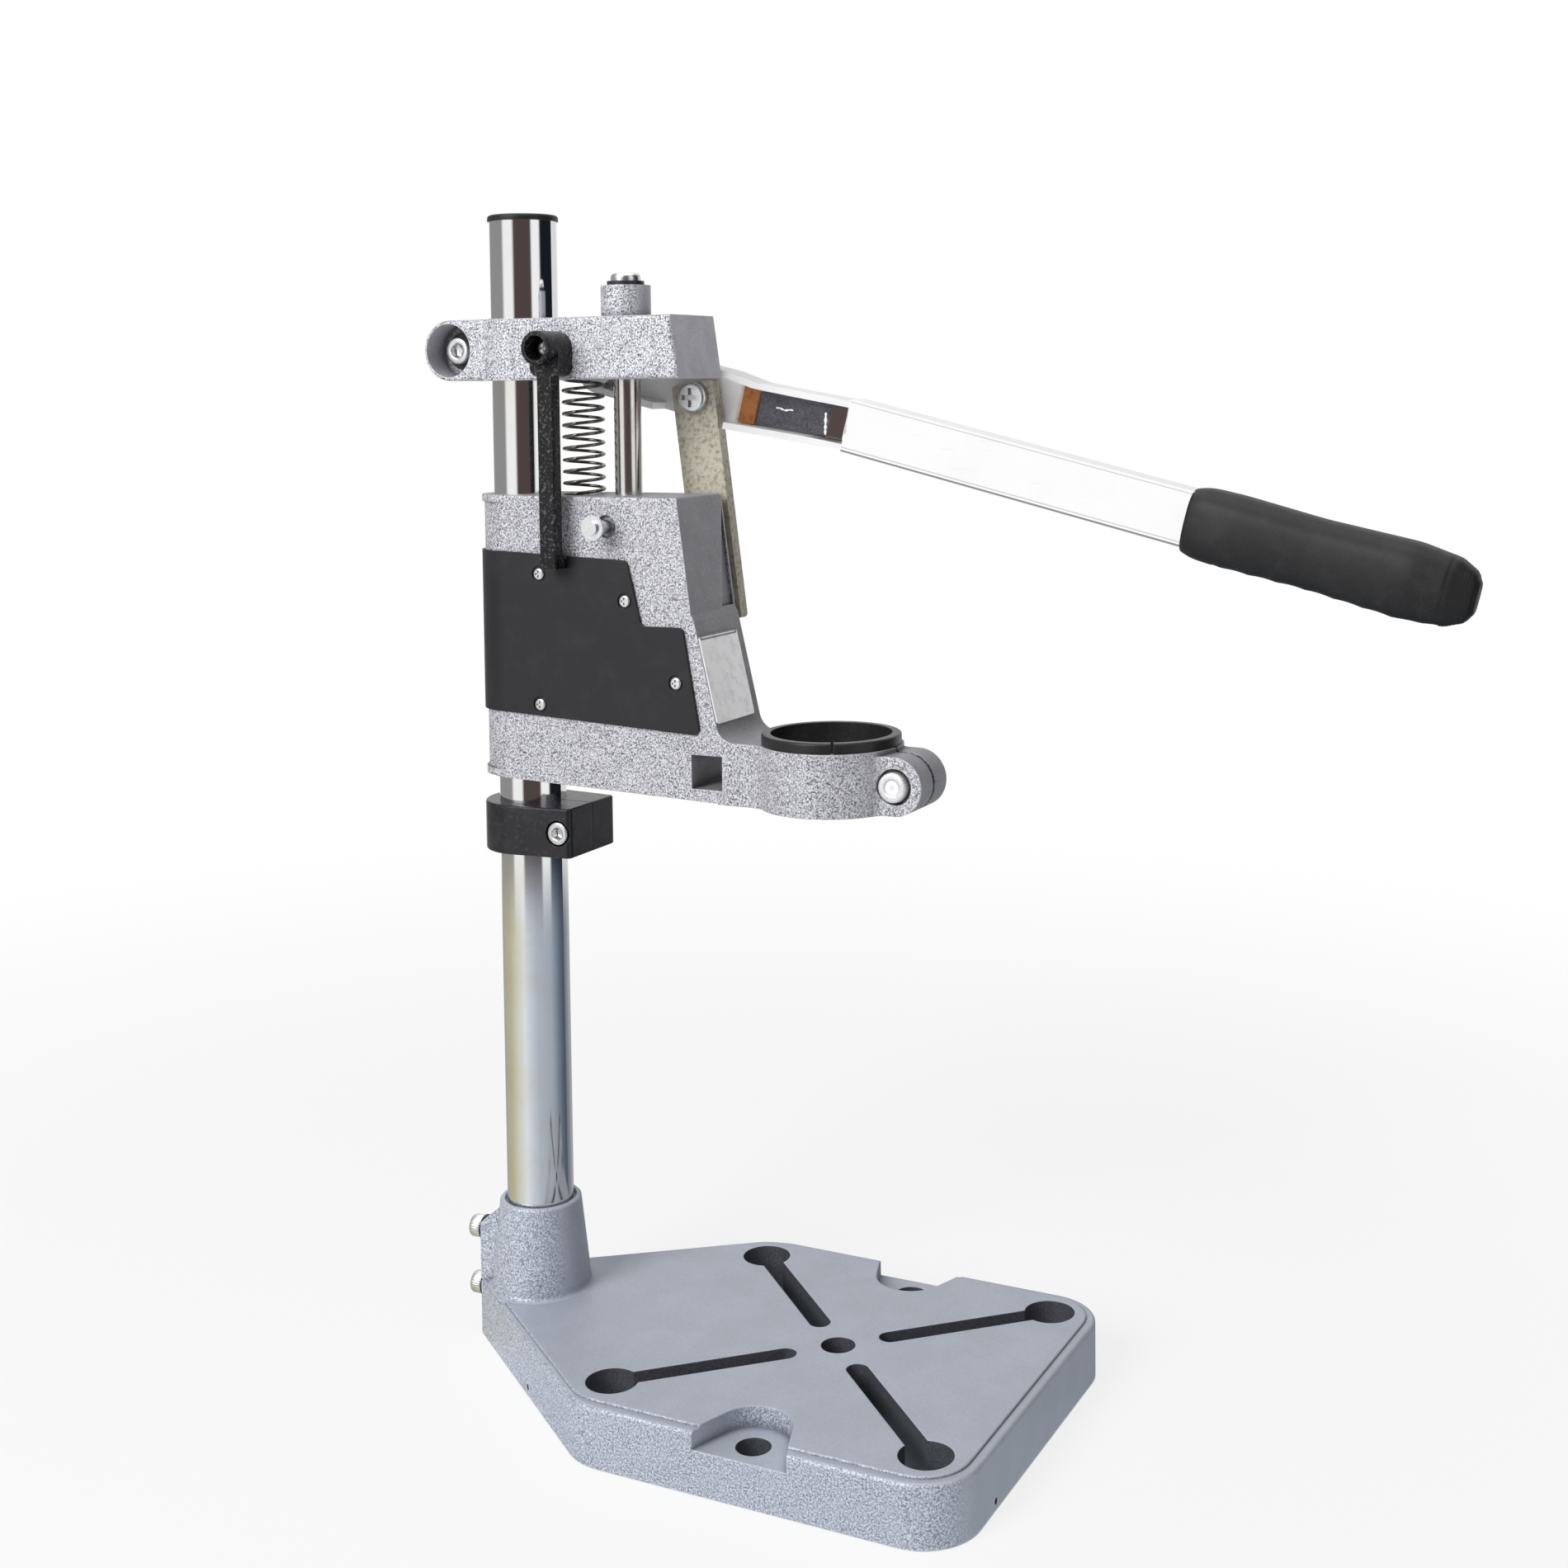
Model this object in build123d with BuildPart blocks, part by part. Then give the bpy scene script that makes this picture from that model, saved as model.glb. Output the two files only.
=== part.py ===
from build123d import *

import os
from math import acos, atan2, cos, degrees, hypot, pi, radians, sin, sqrt, tan

# A bench stand for a hand drill: base, column, clamped head, carriage with the drill's
# collar, lever with its link, return spring, depth arm and stop collar.
# Millimetres. The origin is on the column's axis, in the plane that the base stands on.
# +X points from the column to the collar, +Y to the lever's side, +Z up.
# The pose is the one that the stand has while its lever is held part of the way down.

# Fits and clearances
cut_over = 2.0  # how far a cut runs past the face that it opens
clamp_gap = 0.03  # between a clamped bore and the column, on the radius
running_gap = 0.05  # between a sliding or turning bore and its shaft, on the radius
thread_gap = 0.03  # between a screw and its threaded hole, on the radius
screw_gap = 0.25  # between a screw and a plain hole, on the radius
tip_gap = 0.2  # between a screw's tip and what it presses on
side_play = 0.1  # between a turning piece and the faces that hold it

# Screws
chamfer_share = 0.1  # chamfer of a cap screw's head and tip, as a share of its diameter
key_share = 0.29  # half width of the hexagon key hole, as a share of the head's diameter
key_depth_share = 0.5  # of the head's height
pan_round_share = 0.6  # rounding of a pan head, as a share of its height
cross_width_share = 0.16  # cross recess, as shares of the head's diameter
cross_length_share = 0.6
cross_depth_share = 0.5  # of the head's height

# Base
base_front_x = 203.3
base_half_w = 73.2
base_rear = 24.5
slope_end_x = 64.2
base_top_z = 22.1
field_h = 0.9  # height of the raised field on the base's top
field_inset = 3.4
field_slope_inset = 1.7
field_edge_r = 0.5
plate_t = 5.0
base_wall = 4.5
front_corner_r = 20.0
slope_corner_r = 24.0
rear_corner_r = 2.0
base_edge_r = 1.4
rib_bottom_z = 8.0
rib_t = 4.0
rib_wall = 3.0  # wall round the slots and the centre hole, under the plate
keyhole_front_inset = 17.5  # from the base's front to the two front keyholes
keyhole_side_inset = 17.1
keyhole_r = 9.2
slot_w = 8.0
slot_inner = 19.5  # from the centre hole's axis to the middle of the slot's round end
centre_hole_r = 6.2
lug_inset = 10.3  # from the base's side to the lug's hole
lug_hole_r = 6.0
lug_floor_z = 15.1
lug_r = 13.3
lug_mouth = 17.7
lug_wall = 3.5
pit_r = 1.1  # small pits low in the base's wall
pit_depth = 1.2
pit_z = 3.2
pit_slope_share = 0.33  # place along the sloped wall
pit_front_share = 0.55  # place across the front, of its half width

# Socket on the base
socket_top_z = 56.0
socket_top_r = 15.4
socket_foot_r = 18.6
socket_foot_round = 2.2
socket_floor = 6.0
socket_edge = 0.6
socket_mouth_gap = 1.1  # round the column, at the socket's mouth
socket_mouth_depth = 1.5
pad_half_w = 6.0
pad_flat_z = 43.0
pad_slope_z = 52.0
pad_slope_x = 13.5
set_screw_top_z = 39.0
set_screw_low_z = 16.7
set_screw_d = 5.0
set_head_d = 8.5
set_head_h = 5.0
set_washer_d = 9.4
set_washer_t = 1.6

# Column
column_d = 25.0
column_wall = 2.0
column_top_z = 426.0
cap_rim = 2.3
cap_over = 0.6
cap_plug = 12.0

# Head
head_bottom_z = 367.0
head_h = 22.6
head_half_w = 16.0
head_bulge = 1.4  # how far the wall round the column stands out of the head's sides
head_rear_x = 23.3  # from the column's axis back to the clamp screw
head_front_low_x = 75.8
head_front_top_x = 72.6
head_edge_r = 1.4
split_w = 2.4
clamp_pocket_r = 9.9
clamp_pocket_depth = 11.0
clamp_screw_d = 6.0
clamp_head_d = 10.0
clamp_head_h = 4.2
clamp_washer_d = 14.0
clamp_washer_t = 1.5
clamp_nut_w = 10.0
clamp_nut_h = 5.0
rod_boss_wall = 4.1
rod_boss_h = 11.4

# Guide rod
rod_x = 44.7
rod_d = 10.0
rod_bottom_z = 262.0
rod_washer_d = 13.6
rod_washer_t = 1.6
rod_screw_d = 5.0
rod_screw_l = 14.0
rod_head_d = 11.0
rod_head_h = 3.0

# Depth arm on the head's near side
arm_boss_r = 6.2
arm_boss_l = 14.6
arm_pocket_r = 4.5
arm_pocket_depth = 8.0
arm_bar_w = 7.0
arm_bar_t = 5.0
arm_bar_out = 4.0  # from the head's side out to the bar
arm_l = 79.7  # from the boss's axis down to the arm's end
arm_neck_drop = 6.7  # from the boss's axis down to where the boss narrows
arm_block_drop = 10.1
arm_foot_h = 5.0
arm_edge_r = 0.8
foot_gap = 0.6  # between the arm's foot and the cover
arm_screw_d = 4.0
arm_screw_l = 13.0
arm_head_d = 6.4
arm_head_h = 2.4

# Lever: a channel pivoted on the head's far side, whose neck bows out to pass the drill,
# then a bar and a grip. Its places are distances along it and across it, from the fulcrum.
lever_drop = 14.0  # degrees below the level
fulcrum_x = 22.0
fulcrum_rise = 5.3  # above the head's underside
lever_side_gap = 1.0  # between the head's side and the channel's open side
lever_depth = 12.0
lever_skin = 2.5
root_half_h = 10.5
root_end = 55.0  # where the root starts to narrow
dip = 65.0
dip_top = 8.7
waist = 92.0
waist_top = 9.3
waist_low = 9.1
bow_start = 56.0  # where the neck starts to bow out
lever_bow = 20.0  # how far out it brings the bar
bar_start = 96.0  # where the neck ends and the bar starts
bar_end = 300.0
bar_half_h = 10.1
bar_skin = 1.8
link_window_start = 26.0  # the lower flange is cut away here, where the link swings through
link_window_end = 56.5
neck_plate_t = 1.2
neck_strip_start = 58.1
neck_strip_w = 5.3
neck_strip_t = 2.4
neck_gap = 0.3
tongue_l = 8.0
tongue_t = 3.0
grip_start = 229.0
grip_l = 98.2
grip_middle = -0.4  # of the grip, above the lever's middle line
grip_h = 26.2
grip_w = 23.6
grip_places_share = (0.0, 0.04, 0.16, 0.45, 0.78, 0.92, 0.98, 1.0)
grip_heights_share = (0.9, 0.96, 0.98, 0.93, 1.0, 0.88, 0.66, 0.4)
grip_widths_share = (0.84, 0.92, 0.97, 0.92, 1.0, 0.86, 0.62, 0.36)
grip_round_share = 0.46

# Fulcrum screw and bush
fulcrum_d = 8.0
fulcrum_bush_d = 14.0
fulcrum_head_d = 13.0
fulcrum_head_h = 4.4
fulcrum_thread_l = 6.0

# Link from the lever to the carriage
pin_along = 40.8
pin_below = 2.5  # below the lever's middle line
link_l = 74.0
link_lean = 7.0  # degrees forward of straight down
link_w = 17.8
link_t = 5.0
link_out = 4.0  # from the castings' far side out to the link
link_foot = 9.0  # past the lower pivot
link_top = 5.5  # past the upper one, so that its corners clear the channel's flange
link_corner_r = 1.5
link_slack = 2.35  # radial play of the link on its lower pivot
link_screw_d = 6.0
link_head_d = 12.0
link_head_h = 2.6
link_washer_d = 12.0
link_nut_w = 10.0
link_nut_h = 4.0
pivot_boss_r = 7.5
pivot_d = 8.0
pivot_head_d = 15.0
pivot_head_h = 2.8
pivot_thread_l = 9.0

# Carriage
carriage_top_z = 324.8
carriage_half_w = 16.0
carriage_front_top_x = 74.2
ledge_x = 79.6
ledge_z = 283.5
ledge_step = 1.2
ledge_drop = 2.2
front_low_x = 89.4
front_low_z = 244.2
carriage_rear_bottom_z = 220.2
front_curve_r = 7.0
top_edge_r = 0.9
lip_h = 2.6
lip_out = 0.9
rod_bore_bottom_z = 229.0
square_start_x = 79.0
square_start_z = 221.6
square_w = 12.4
square_h = 12.2
facet_w = 9.6  # a shallow three-cornered recess in the upper front, beside its far edge
facet_h = 37.5
facet_rim = 0.9
facet_depth = 1.2
lock_z = 314.1
lock_pocket_r = 4.1
lock_pocket_depth = 2.0
lock_d = 5.0
lock_out = 8.0
lock_head_d = 9.0
lock_head_h = 2.2

# Collar on the carriage
collar_x = 126.6
collar_ring_r = 25.5
collar_top_z = 238.8
collar_bottom_z = 216.7
collar_blend_r = 9.0
collar_edge_r = 0.8
liner_bore_r = 21.5
liner_wall = 1.2
liner_flange_r = 24.7
liner_flange_h = 3.7
liner_slit_w = 1.0
liner_slit_angle = 297.0
ear_x = 155.6
ear_z = 227.0
ear_r = 10.2
ear_half_w = 10.7
ear_split = 2.2
ear_blend_r = 4.0
ear_pocket_r = 6.3
ear_pocket_depth = 3.0
collar_screw_d = 6.0
collar_head_d = 10.4
collar_head_h = 5.2
collar_nut_w = 10.0
collar_nut_h = 5.0
collar_nut_face_r = 8.2

# Cover on the carriage's near side, with its screws, and the label plate
cover_t = 1.2
cover_rear_top_z = 304.2
cover_top_x = 53.8
cover_top_z = 302.1
cover_step_x = 59.6
cover_step_z = 278.8
cover_far_x = 76.6
cover_low_x = 83.2
cover_low_z = 240.9
cover_rear_low_z = 244.8
cover_corner_r = 2.2
cover_screw_places = ((16.2, 296.2), (52.9, 287.5), (73.7, 259.0), (15.9, 248.2))
cover_screw_d = 3.0
cover_screw_l = 7.0
cover_head_d = 4.4
cover_head_h = 1.1
cover_dimple_r = 3.0
cover_dimple_depth = 0.6
label_w = 27.0
label_h = 31.3
label_t = 0.6
label_y = -2.2
label_place_share = 0.437  # up the sloped face
label_corner_r = 1.0

# Return spring between the head and the carriage
spring_x = 25.5
spring_d = 15.9
wire_d = 1.2
spring_turns = 12
spring_lead_r = 1.8
spring_head_pocket = 5.0
spring_carriage_pocket = 10.0
pocket_gap = 0.7

# Stop collar on the column
stop_bottom_z = 191.2
stop_h = 18.4
stop_r = 17.7
stop_front_x = 26.4
stop_front_half_w = 15.2
stop_corner_r = 2.0
stop_edge_r = 0.8
stop_split = 0.4
stop_screw_x = 21.2
stop_screw_seat_y = 11.0
stop_screw_d = 5.0
stop_screw_l = 24.0
stop_head_d = 8.5
stop_head_h = 5.0
stop_pocket_r = 4.8

# Values worked out from the sizes above
column_r = column_d / 2
deck_z = base_top_z - field_h
keyhole_dx = base_front_x - keyhole_front_inset - collar_x
keyhole_dy = base_half_w - keyhole_side_inset
lug_y = base_half_w - lug_inset
slope = atan2(base_half_w - pad_half_w, slope_end_x + base_rear)
socket_wall = column_r + clamp_gap
head_top_z = head_bottom_z + head_h
head_mid_z = head_bottom_z + head_h / 2
arm_z = head_mid_z
arm_bottom_z = arm_z - arm_l
arm_neck_z = arm_z - arm_neck_drop
arm_block_z = arm_z - arm_block_drop
fulcrum_z = head_bottom_z + fulcrum_rise
rod_r = rod_d / 2
rod_top_z = head_top_z + rod_boss_h
wire_r = wire_d / 2
spring_r = spring_d / 2 - wire_r
pocket_r = spring_d / 2 + pocket_gap
spring_top_z = head_bottom_z + spring_head_pocket
spring_bottom_z = carriage_top_z - spring_carriage_pocket
drop = radians(lever_drop)
lever_y = head_half_w + lever_side_gap
lever_far_y = lever_y + lever_depth
web_y = lever_far_y - lever_skin
link_y = head_half_w + link_out
link_far_y = link_y + link_t
lean = radians(link_lean)
pin_x = fulcrum_x + pin_along * cos(drop) - pin_below * sin(drop)
pin_z = fulcrum_z - pin_along * sin(drop) - pin_below * cos(drop)
pivot_x = pin_x + link_l * sin(lean)
pivot_z = pin_z - link_l * cos(lean)
cover_y = carriage_half_w + cover_t
liner_r = liner_bore_r + liner_wall
front_lean = atan2(front_low_x - ledge_x - ledge_step, ledge_z - ledge_drop - front_low_z)
top_lean = atan2(ledge_x - carriage_front_top_x, carriage_top_z - ledge_z)

near = (0, -1, 0)
far = (0, 1, 0)
back = (-1, 0, 0)
up = (0, 0, 1)

os.makedirs("parts", exist_ok=True)
finished = []


def keep(builder, name):
    """Label a finished piece and write it as its own file."""
    builder.part.label = name
    export_step(builder.part, f"parts/{name}.step")
    finished.append(builder.part)


def facing(x, y, z, way):
    """A plane at a point whose normal points along way."""
    level = far if abs(way[0]) > abs(way[1]) else (1, 0, 0)
    return Plane(origin=(x, y, z), x_dir=level, z_dir=way)


def side(y):
    """A plane across Y whose sketches read in X and Z; a positive extrusion goes to -Y."""
    return facing(0, y, 0, near)


def place(name, one, seats):
    """Write one piece at each seat: its own XY plane comes to lie on the seat."""
    with BuildPart() as group:
        with Locations(*[seat.location for seat in seats]):
            add(one.part)
    keep(group, name)


def cap_screw(head_d, head_h, shank_d, shank_l):
    """A screw with a hexagon key hole: head above the XY plane, shank below it."""
    with BuildPart() as screw:
        with BuildSketch():
            Circle(head_d / 2)
        extrude(amount=head_h)
        chamfer(screw.edges().group_by(Axis.Z)[-1], head_d / 2 * chamfer_share)
        with BuildSketch(Plane.XY.offset(head_h)):
            RegularPolygon(head_d * key_share, 6)
        extrude(amount=-head_h * key_depth_share, mode=Mode.SUBTRACT)
        with BuildSketch():
            Circle(shank_d / 2)
        extrude(amount=-shank_l)
        chamfer(screw.edges().group_by(Axis.Z)[0], shank_d * chamfer_share)
    return screw


def pan_screw(head_d, head_h, shank_d, shank_l):
    """A screw with a rounded head and a cross recess: head above the XY plane."""
    with BuildPart() as screw:
        with BuildSketch():
            Circle(head_d / 2)
        extrude(amount=head_h)
        fillet(screw.edges().group_by(Axis.Z)[-1], head_h * pan_round_share)
        with BuildSketch(Plane.XY.offset(head_h)):
            Rectangle(head_d * cross_length_share, head_d * cross_width_share)
            Rectangle(head_d * cross_width_share, head_d * cross_length_share)
        extrude(amount=-head_h * cross_depth_share, mode=Mode.SUBTRACT)
        with BuildSketch():
            Circle(shank_d / 2)
        extrude(amount=-shank_l)
        chamfer(screw.edges().group_by(Axis.Z)[0], shank_d * chamfer_share)
    return screw


def washer(outer_d, bore_d, thickness):
    """A flat ring that stands on the XY plane."""
    with BuildPart() as ring:
        with BuildSketch():
            Circle(outer_d / 2)
            Circle(bore_d / 2 + screw_gap, mode=Mode.SUBTRACT)
        extrude(amount=thickness)
    return ring


def hex_nut(width, height, thread_d):
    """A hexagon nut that stands on the XY plane."""
    with BuildPart() as nut:
        with BuildSketch():
            RegularPolygon(width / 2, 6, major_radius=False)
            Circle(thread_d / 2 + thread_gap, mode=Mode.SUBTRACT)
        extrude(amount=height)
    return nut


def drill(plane, radius, depth):
    """Cut a round hole that starts on a plane, past its face, and goes in against its normal."""
    with BuildSketch(plane) as mouth:
        Circle(radius)
    extrude(mouth.sketch, amount=cut_over, mode=Mode.SUBTRACT)
    extrude(mouth.sketch, amount=-depth, mode=Mode.SUBTRACT)


# Base outline: a rectangle in front whose rear tapers to the pad behind the column
def base_outline(inset, slope_inset):
    """Sketch the base's outline, drawn in by an inset at its sides and one at its slopes."""
    half_w = base_half_w - inset
    rear_x = -base_rear + slope_inset
    rear_half_w = pad_half_w + slope_inset * (sin(slope) - 1) / cos(slope)
    end_x = rear_x + (half_w - rear_half_w) / tan(slope)
    with BuildSketch() as outline:
        Polygon(
            (rear_x, -rear_half_w),
            (end_x, -half_w),
            (base_front_x - inset, -half_w),
            (base_front_x - inset, half_w),
            (end_x, half_w),
            (rear_x, rear_half_w),
            align=None,
        )
        fillet(outline.vertices().sort_by(Axis.X)[-2:], front_corner_r - inset)
        fillet(outline.vertices().sort_by(Axis.X)[2:4], slope_corner_r - inset)
        fillet(outline.vertices().sort_by(Axis.X)[:2], rear_corner_r)
    return outline.sketch


def lug_outline(wall):
    """Sketch both lug recesses, each a circle that opens through the base's side, grown by a wall."""
    mouth_y = base_half_w - lug_y
    reach = hypot(lug_mouth, mouth_y)
    touch = atan2(mouth_y, lug_mouth) - acos(lug_r / reach)
    radius = lug_r + wall
    for turn in (0, 180):
        with Locations(Location((collar_x, 0, 0), (0, 0, turn))):
            with Locations((0, lug_y)):
                Circle(radius)
                Polygon(
                    (radius * cos(touch), radius * sin(touch)),
                    (lug_mouth + wall, mouth_y),
                    (lug_mouth + wall, mouth_y + cut_over),
                    (-lug_mouth - wall, mouth_y + cut_over),
                    (-lug_mouth - wall, mouth_y),
                    (-radius * cos(touch), radius * sin(touch)),
                    align=None,
                )


def keyhole_outline(wall):
    """Sketch the four keyholes, each a round end and a slot towards the centre hole."""
    reach = hypot(keyhole_dx, keyhole_dy)
    for side_x in (-1, 1):
        for side_y in (-1, 1):
            angle = atan2(side_y * keyhole_dy, side_x * keyhole_dx)
            middle = (reach + slot_inner) / 2
            with Locations((collar_x + side_x * keyhole_dx, side_y * keyhole_dy)):
                Circle(keyhole_r + wall)
            with Locations((collar_x + middle * cos(angle), middle * sin(angle))):
                SlotCenterToCenter(reach - slot_inner, slot_w + 2 * wall, rotation=degrees(angle))


def hollow_outline(with_ribs):
    """Sketch the hollow under the base's plate, which leaves walls, bosses and the ribs."""
    with BuildSketch() as outline:
        add(base_outline(base_wall, base_wall))
        with BuildSketch(mode=Mode.SUBTRACT):
            Circle(socket_foot_r)
            keyhole_outline(rib_wall)
            lug_outline(lug_wall)
            with Locations((collar_x, 0)):
                Circle(centre_hole_r + rib_wall)
            if with_ribs:
                with Locations((collar_x, 0)):
                    Rectangle(rib_t, 2 * lug_y)
                with Locations((base_front_x / 2, 0)):
                    Rectangle(base_front_x, rib_t)
    return outline.sketch


# Socket: a cone with a rounded foot, and the pad behind it for the set screws
with BuildPart() as socket:
    with BuildSketch(Plane.XZ):
        with BuildLine():
            Polyline(
                (0, deck_z),
                (socket_foot_r + socket_foot_round, deck_z),
                (socket_foot_r + socket_foot_round, base_top_z),
            )
            RadiusArc(
                (socket_foot_r + socket_foot_round, base_top_z),
                (socket_foot_r, base_top_z + socket_foot_round),
                socket_foot_round,
            )
            Polyline(
                (socket_foot_r, base_top_z + socket_foot_round),
                (socket_top_r, socket_top_z - socket_edge),
                (socket_top_r - socket_edge, socket_top_z),
                (0, socket_top_z),
                (0, deck_z),
            )
        make_face()
    revolve(axis=Axis.Z)
    with BuildSketch(side(pad_half_w)):
        Polygon(
            (-base_rear, deck_z),
            (-base_rear, pad_flat_z),
            (-pad_slope_x, pad_slope_z),
            (0, pad_slope_z),
            (0, deck_z),
            align=None,
        )
    extrude(amount=2 * pad_half_w)
    with BuildSketch(Plane.XY.offset(deck_z)):
        add(base_outline(0, 0))
    extrude(amount=socket_top_z - deck_z, mode=Mode.INTERSECT)

with BuildPart() as base_casting:
    with BuildSketch():
        add(base_outline(0, 0))
    extrude(amount=deck_z)
    fillet(base_casting.edges().group_by(Axis.Z)[-1], base_edge_r)
    with BuildSketch(Plane.XY.offset(deck_z)):
        add(base_outline(field_inset, field_slope_inset))
    extrude(amount=field_h)
    fillet(base_casting.edges().group_by(Axis.Z)[-1], field_edge_r)
    add(socket.part)
    with BuildSketch():
        add(hollow_outline(False))
    extrude(amount=rib_bottom_z, mode=Mode.SUBTRACT)
    with BuildSketch(Plane.XY.offset(rib_bottom_z)):
        add(hollow_outline(True))
    extrude(amount=base_top_z - plate_t - rib_bottom_z, mode=Mode.SUBTRACT)
    with BuildSketch(Plane.XY.offset(lug_floor_z)):
        lug_outline(0)
    extrude(amount=base_top_z, mode=Mode.SUBTRACT)
    with BuildSketch():
        keyhole_outline(0)
        with Locations((collar_x, 0)):
            Circle(centre_hole_r)
        with Locations((collar_x, lug_y), (collar_x, -lug_y)):
            Circle(lug_hole_r)
    extrude(amount=base_top_z, mode=Mode.SUBTRACT)
    drill(facing(0, 0, socket_top_z, up), socket_wall, socket_top_z - socket_floor)
    drill(facing(0, 0, socket_top_z, up), column_r + socket_mouth_gap, socket_mouth_depth)
    for screw_z in (set_screw_low_z, set_screw_top_z):
        drill(facing(-base_rear, 0, screw_z, back), set_screw_d / 2 + thread_gap, base_rear)
    pit_x = slope_end_x * pit_slope_share
    pit_y = pad_half_w + (pit_x + base_rear) * tan(slope)
    drill(facing(pit_x, -pit_y, pit_z, (-sin(slope), -cos(slope), 0)), pit_r, pit_depth)
    drill(facing(base_front_x, -base_half_w * pit_front_share, pit_z, (1, 0, 0)), pit_r, pit_depth)
keep(base_casting, "base_casting")

washer_seats = [facing(-base_rear, 0, z, back) for z in (set_screw_low_z, set_screw_top_z)]
place("set_screw_washers", washer(set_washer_d, set_screw_d, set_washer_t), washer_seats)
set_screw_l = base_rear + set_washer_t - column_r - tip_gap
set_screw = cap_screw(set_head_d, set_head_h, set_screw_d, set_screw_l)
place("set_screws", set_screw, [seat.offset(set_washer_t) for seat in washer_seats])

# Column
with BuildPart() as column_tube:
    with BuildSketch(Plane.XY.offset(socket_floor)):
        Circle(column_r)
        Circle(column_r - column_wall, mode=Mode.SUBTRACT)
    extrude(amount=column_top_z - socket_floor)
keep(column_tube, "column_tube")

with BuildPart() as column_cap:
    with BuildSketch(Plane.XY.offset(column_top_z)):
        Circle(column_r + cap_over)
    extrude(amount=cap_rim)
    fillet(column_cap.edges().group_by(Axis.Z)[-1], cap_rim / 2)
    with BuildSketch(Plane.XY.offset(column_top_z)):
        Circle(column_r - column_wall - thread_gap)
    extrude(amount=-cap_plug)
keep(column_cap, "column_cap")

# Stop collar
stop_screw_z = stop_bottom_z + stop_h / 2
with BuildPart() as stop_collar:
    stop_reach = hypot(stop_front_x, stop_front_half_w)
    stop_touch = atan2(stop_front_half_w, stop_front_x) + acos(stop_r / stop_reach)
    with BuildSketch(Plane.XY.offset(stop_bottom_z)) as stop_plan:
        Circle(stop_r)
        Polygon(
            (stop_r * cos(stop_touch), stop_r * sin(stop_touch)),
            (stop_r * cos(stop_touch), -stop_r * sin(stop_touch)),
            (stop_front_x, -stop_front_half_w),
            (stop_front_x, stop_front_half_w),
            align=None,
        )
        fillet(stop_plan.vertices().sort_by(Axis.X)[-2:], stop_corner_r)
    extrude(amount=stop_h)
    fillet(stop_collar.faces().sort_by(Axis.Z)[-1].edges(), stop_edge_r)
    fillet(stop_collar.faces().sort_by(Axis.Z)[0].edges(), stop_edge_r)
    drill(facing(0, 0, stop_bottom_z + stop_h, up), socket_wall, stop_h + cut_over)
    with BuildSketch(Plane.XY.offset(stop_bottom_z)):
        with Locations((stop_front_x / 2, 0)):
            Rectangle(stop_front_x + cut_over, stop_split)
    extrude(amount=stop_h, mode=Mode.SUBTRACT)
    stop_seat = facing(stop_screw_x, -stop_screw_seat_y, stop_screw_z, near)
    drill(stop_seat, stop_screw_d / 2 + screw_gap, stop_screw_seat_y)
    drill(stop_seat, stop_screw_d / 2 + thread_gap, stop_screw_l + tip_gap)
    with BuildSketch(stop_seat):
        Circle(stop_pocket_r)
    extrude(amount=stop_r, mode=Mode.SUBTRACT)
keep(stop_collar, "stop_collar")
place("stop_collar_screw", cap_screw(stop_head_d, stop_head_h, stop_screw_d, stop_screw_l), [stop_seat])

# Head
clamp_seat_y = head_half_w - clamp_pocket_depth
arm_seat_y = head_half_w + arm_boss_l - arm_pocket_depth
with BuildPart() as head_casting:
    with BuildSketch(side(head_half_w)):
        with BuildLine():
            Polyline(
                (-head_rear_x, head_top_z),
                (head_front_top_x, head_top_z),
                (head_front_low_x, head_bottom_z),
                (-head_rear_x, head_bottom_z),
            )
            ThreePointArc(
                (-head_rear_x, head_bottom_z),
                (-head_rear_x - head_h / 2, head_mid_z),
                (-head_rear_x, head_top_z),
            )
        make_face()
    extrude(amount=2 * head_half_w)
    fillet(head_casting.faces().sort_by(Axis.Y)[0].edges(), head_edge_r)
    fillet(head_casting.faces().sort_by(Axis.Y)[-1].edges(), head_edge_r)
    with BuildSketch(Plane.XY.offset(head_bottom_z)):
        Circle(head_half_w + head_bulge)
    extrude(amount=head_h)
    with BuildSketch(Plane.XY.offset(head_top_z)):
        with Locations((rod_x, 0)):
            Circle(rod_r + rod_boss_wall)
    extrude(amount=rod_boss_h)
    drill(facing(0, 0, head_top_z, up), socket_wall, head_h + cut_over)
    drill(facing(rod_x, 0, rod_top_z, up), rod_r + thread_gap, rod_boss_h + head_h + cut_over)
    drill(facing(spring_x, 0, head_bottom_z, (0, 0, -1)), pocket_r, spring_head_pocket)
    with BuildSketch(Plane.XY.offset(head_bottom_z)):
        with Locations((-head_rear_x, 0)):
            Rectangle(2 * head_rear_x, split_w)
    extrude(amount=head_h, mode=Mode.SUBTRACT)
    for y, way in ((-head_half_w, near), (head_half_w, far)):
        drill(facing(-head_rear_x, y, head_mid_z, way), clamp_pocket_r, clamp_pocket_depth)
        drill(facing(-head_rear_x, y, head_mid_z, way), clamp_screw_d / 2 + screw_gap, head_half_w)
    arm_hole_l = arm_screw_l - (arm_seat_y - head_half_w) + tip_gap
    drill(facing(spring_x, -head_half_w, arm_z, near), arm_screw_d / 2 + thread_gap, arm_hole_l)
    fulcrum_hole = facing(fulcrum_x, head_half_w, fulcrum_z, far)
    drill(fulcrum_hole, fulcrum_d / 2 + thread_gap, fulcrum_thread_l + tip_gap)
keep(head_casting, "head_casting")

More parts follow.
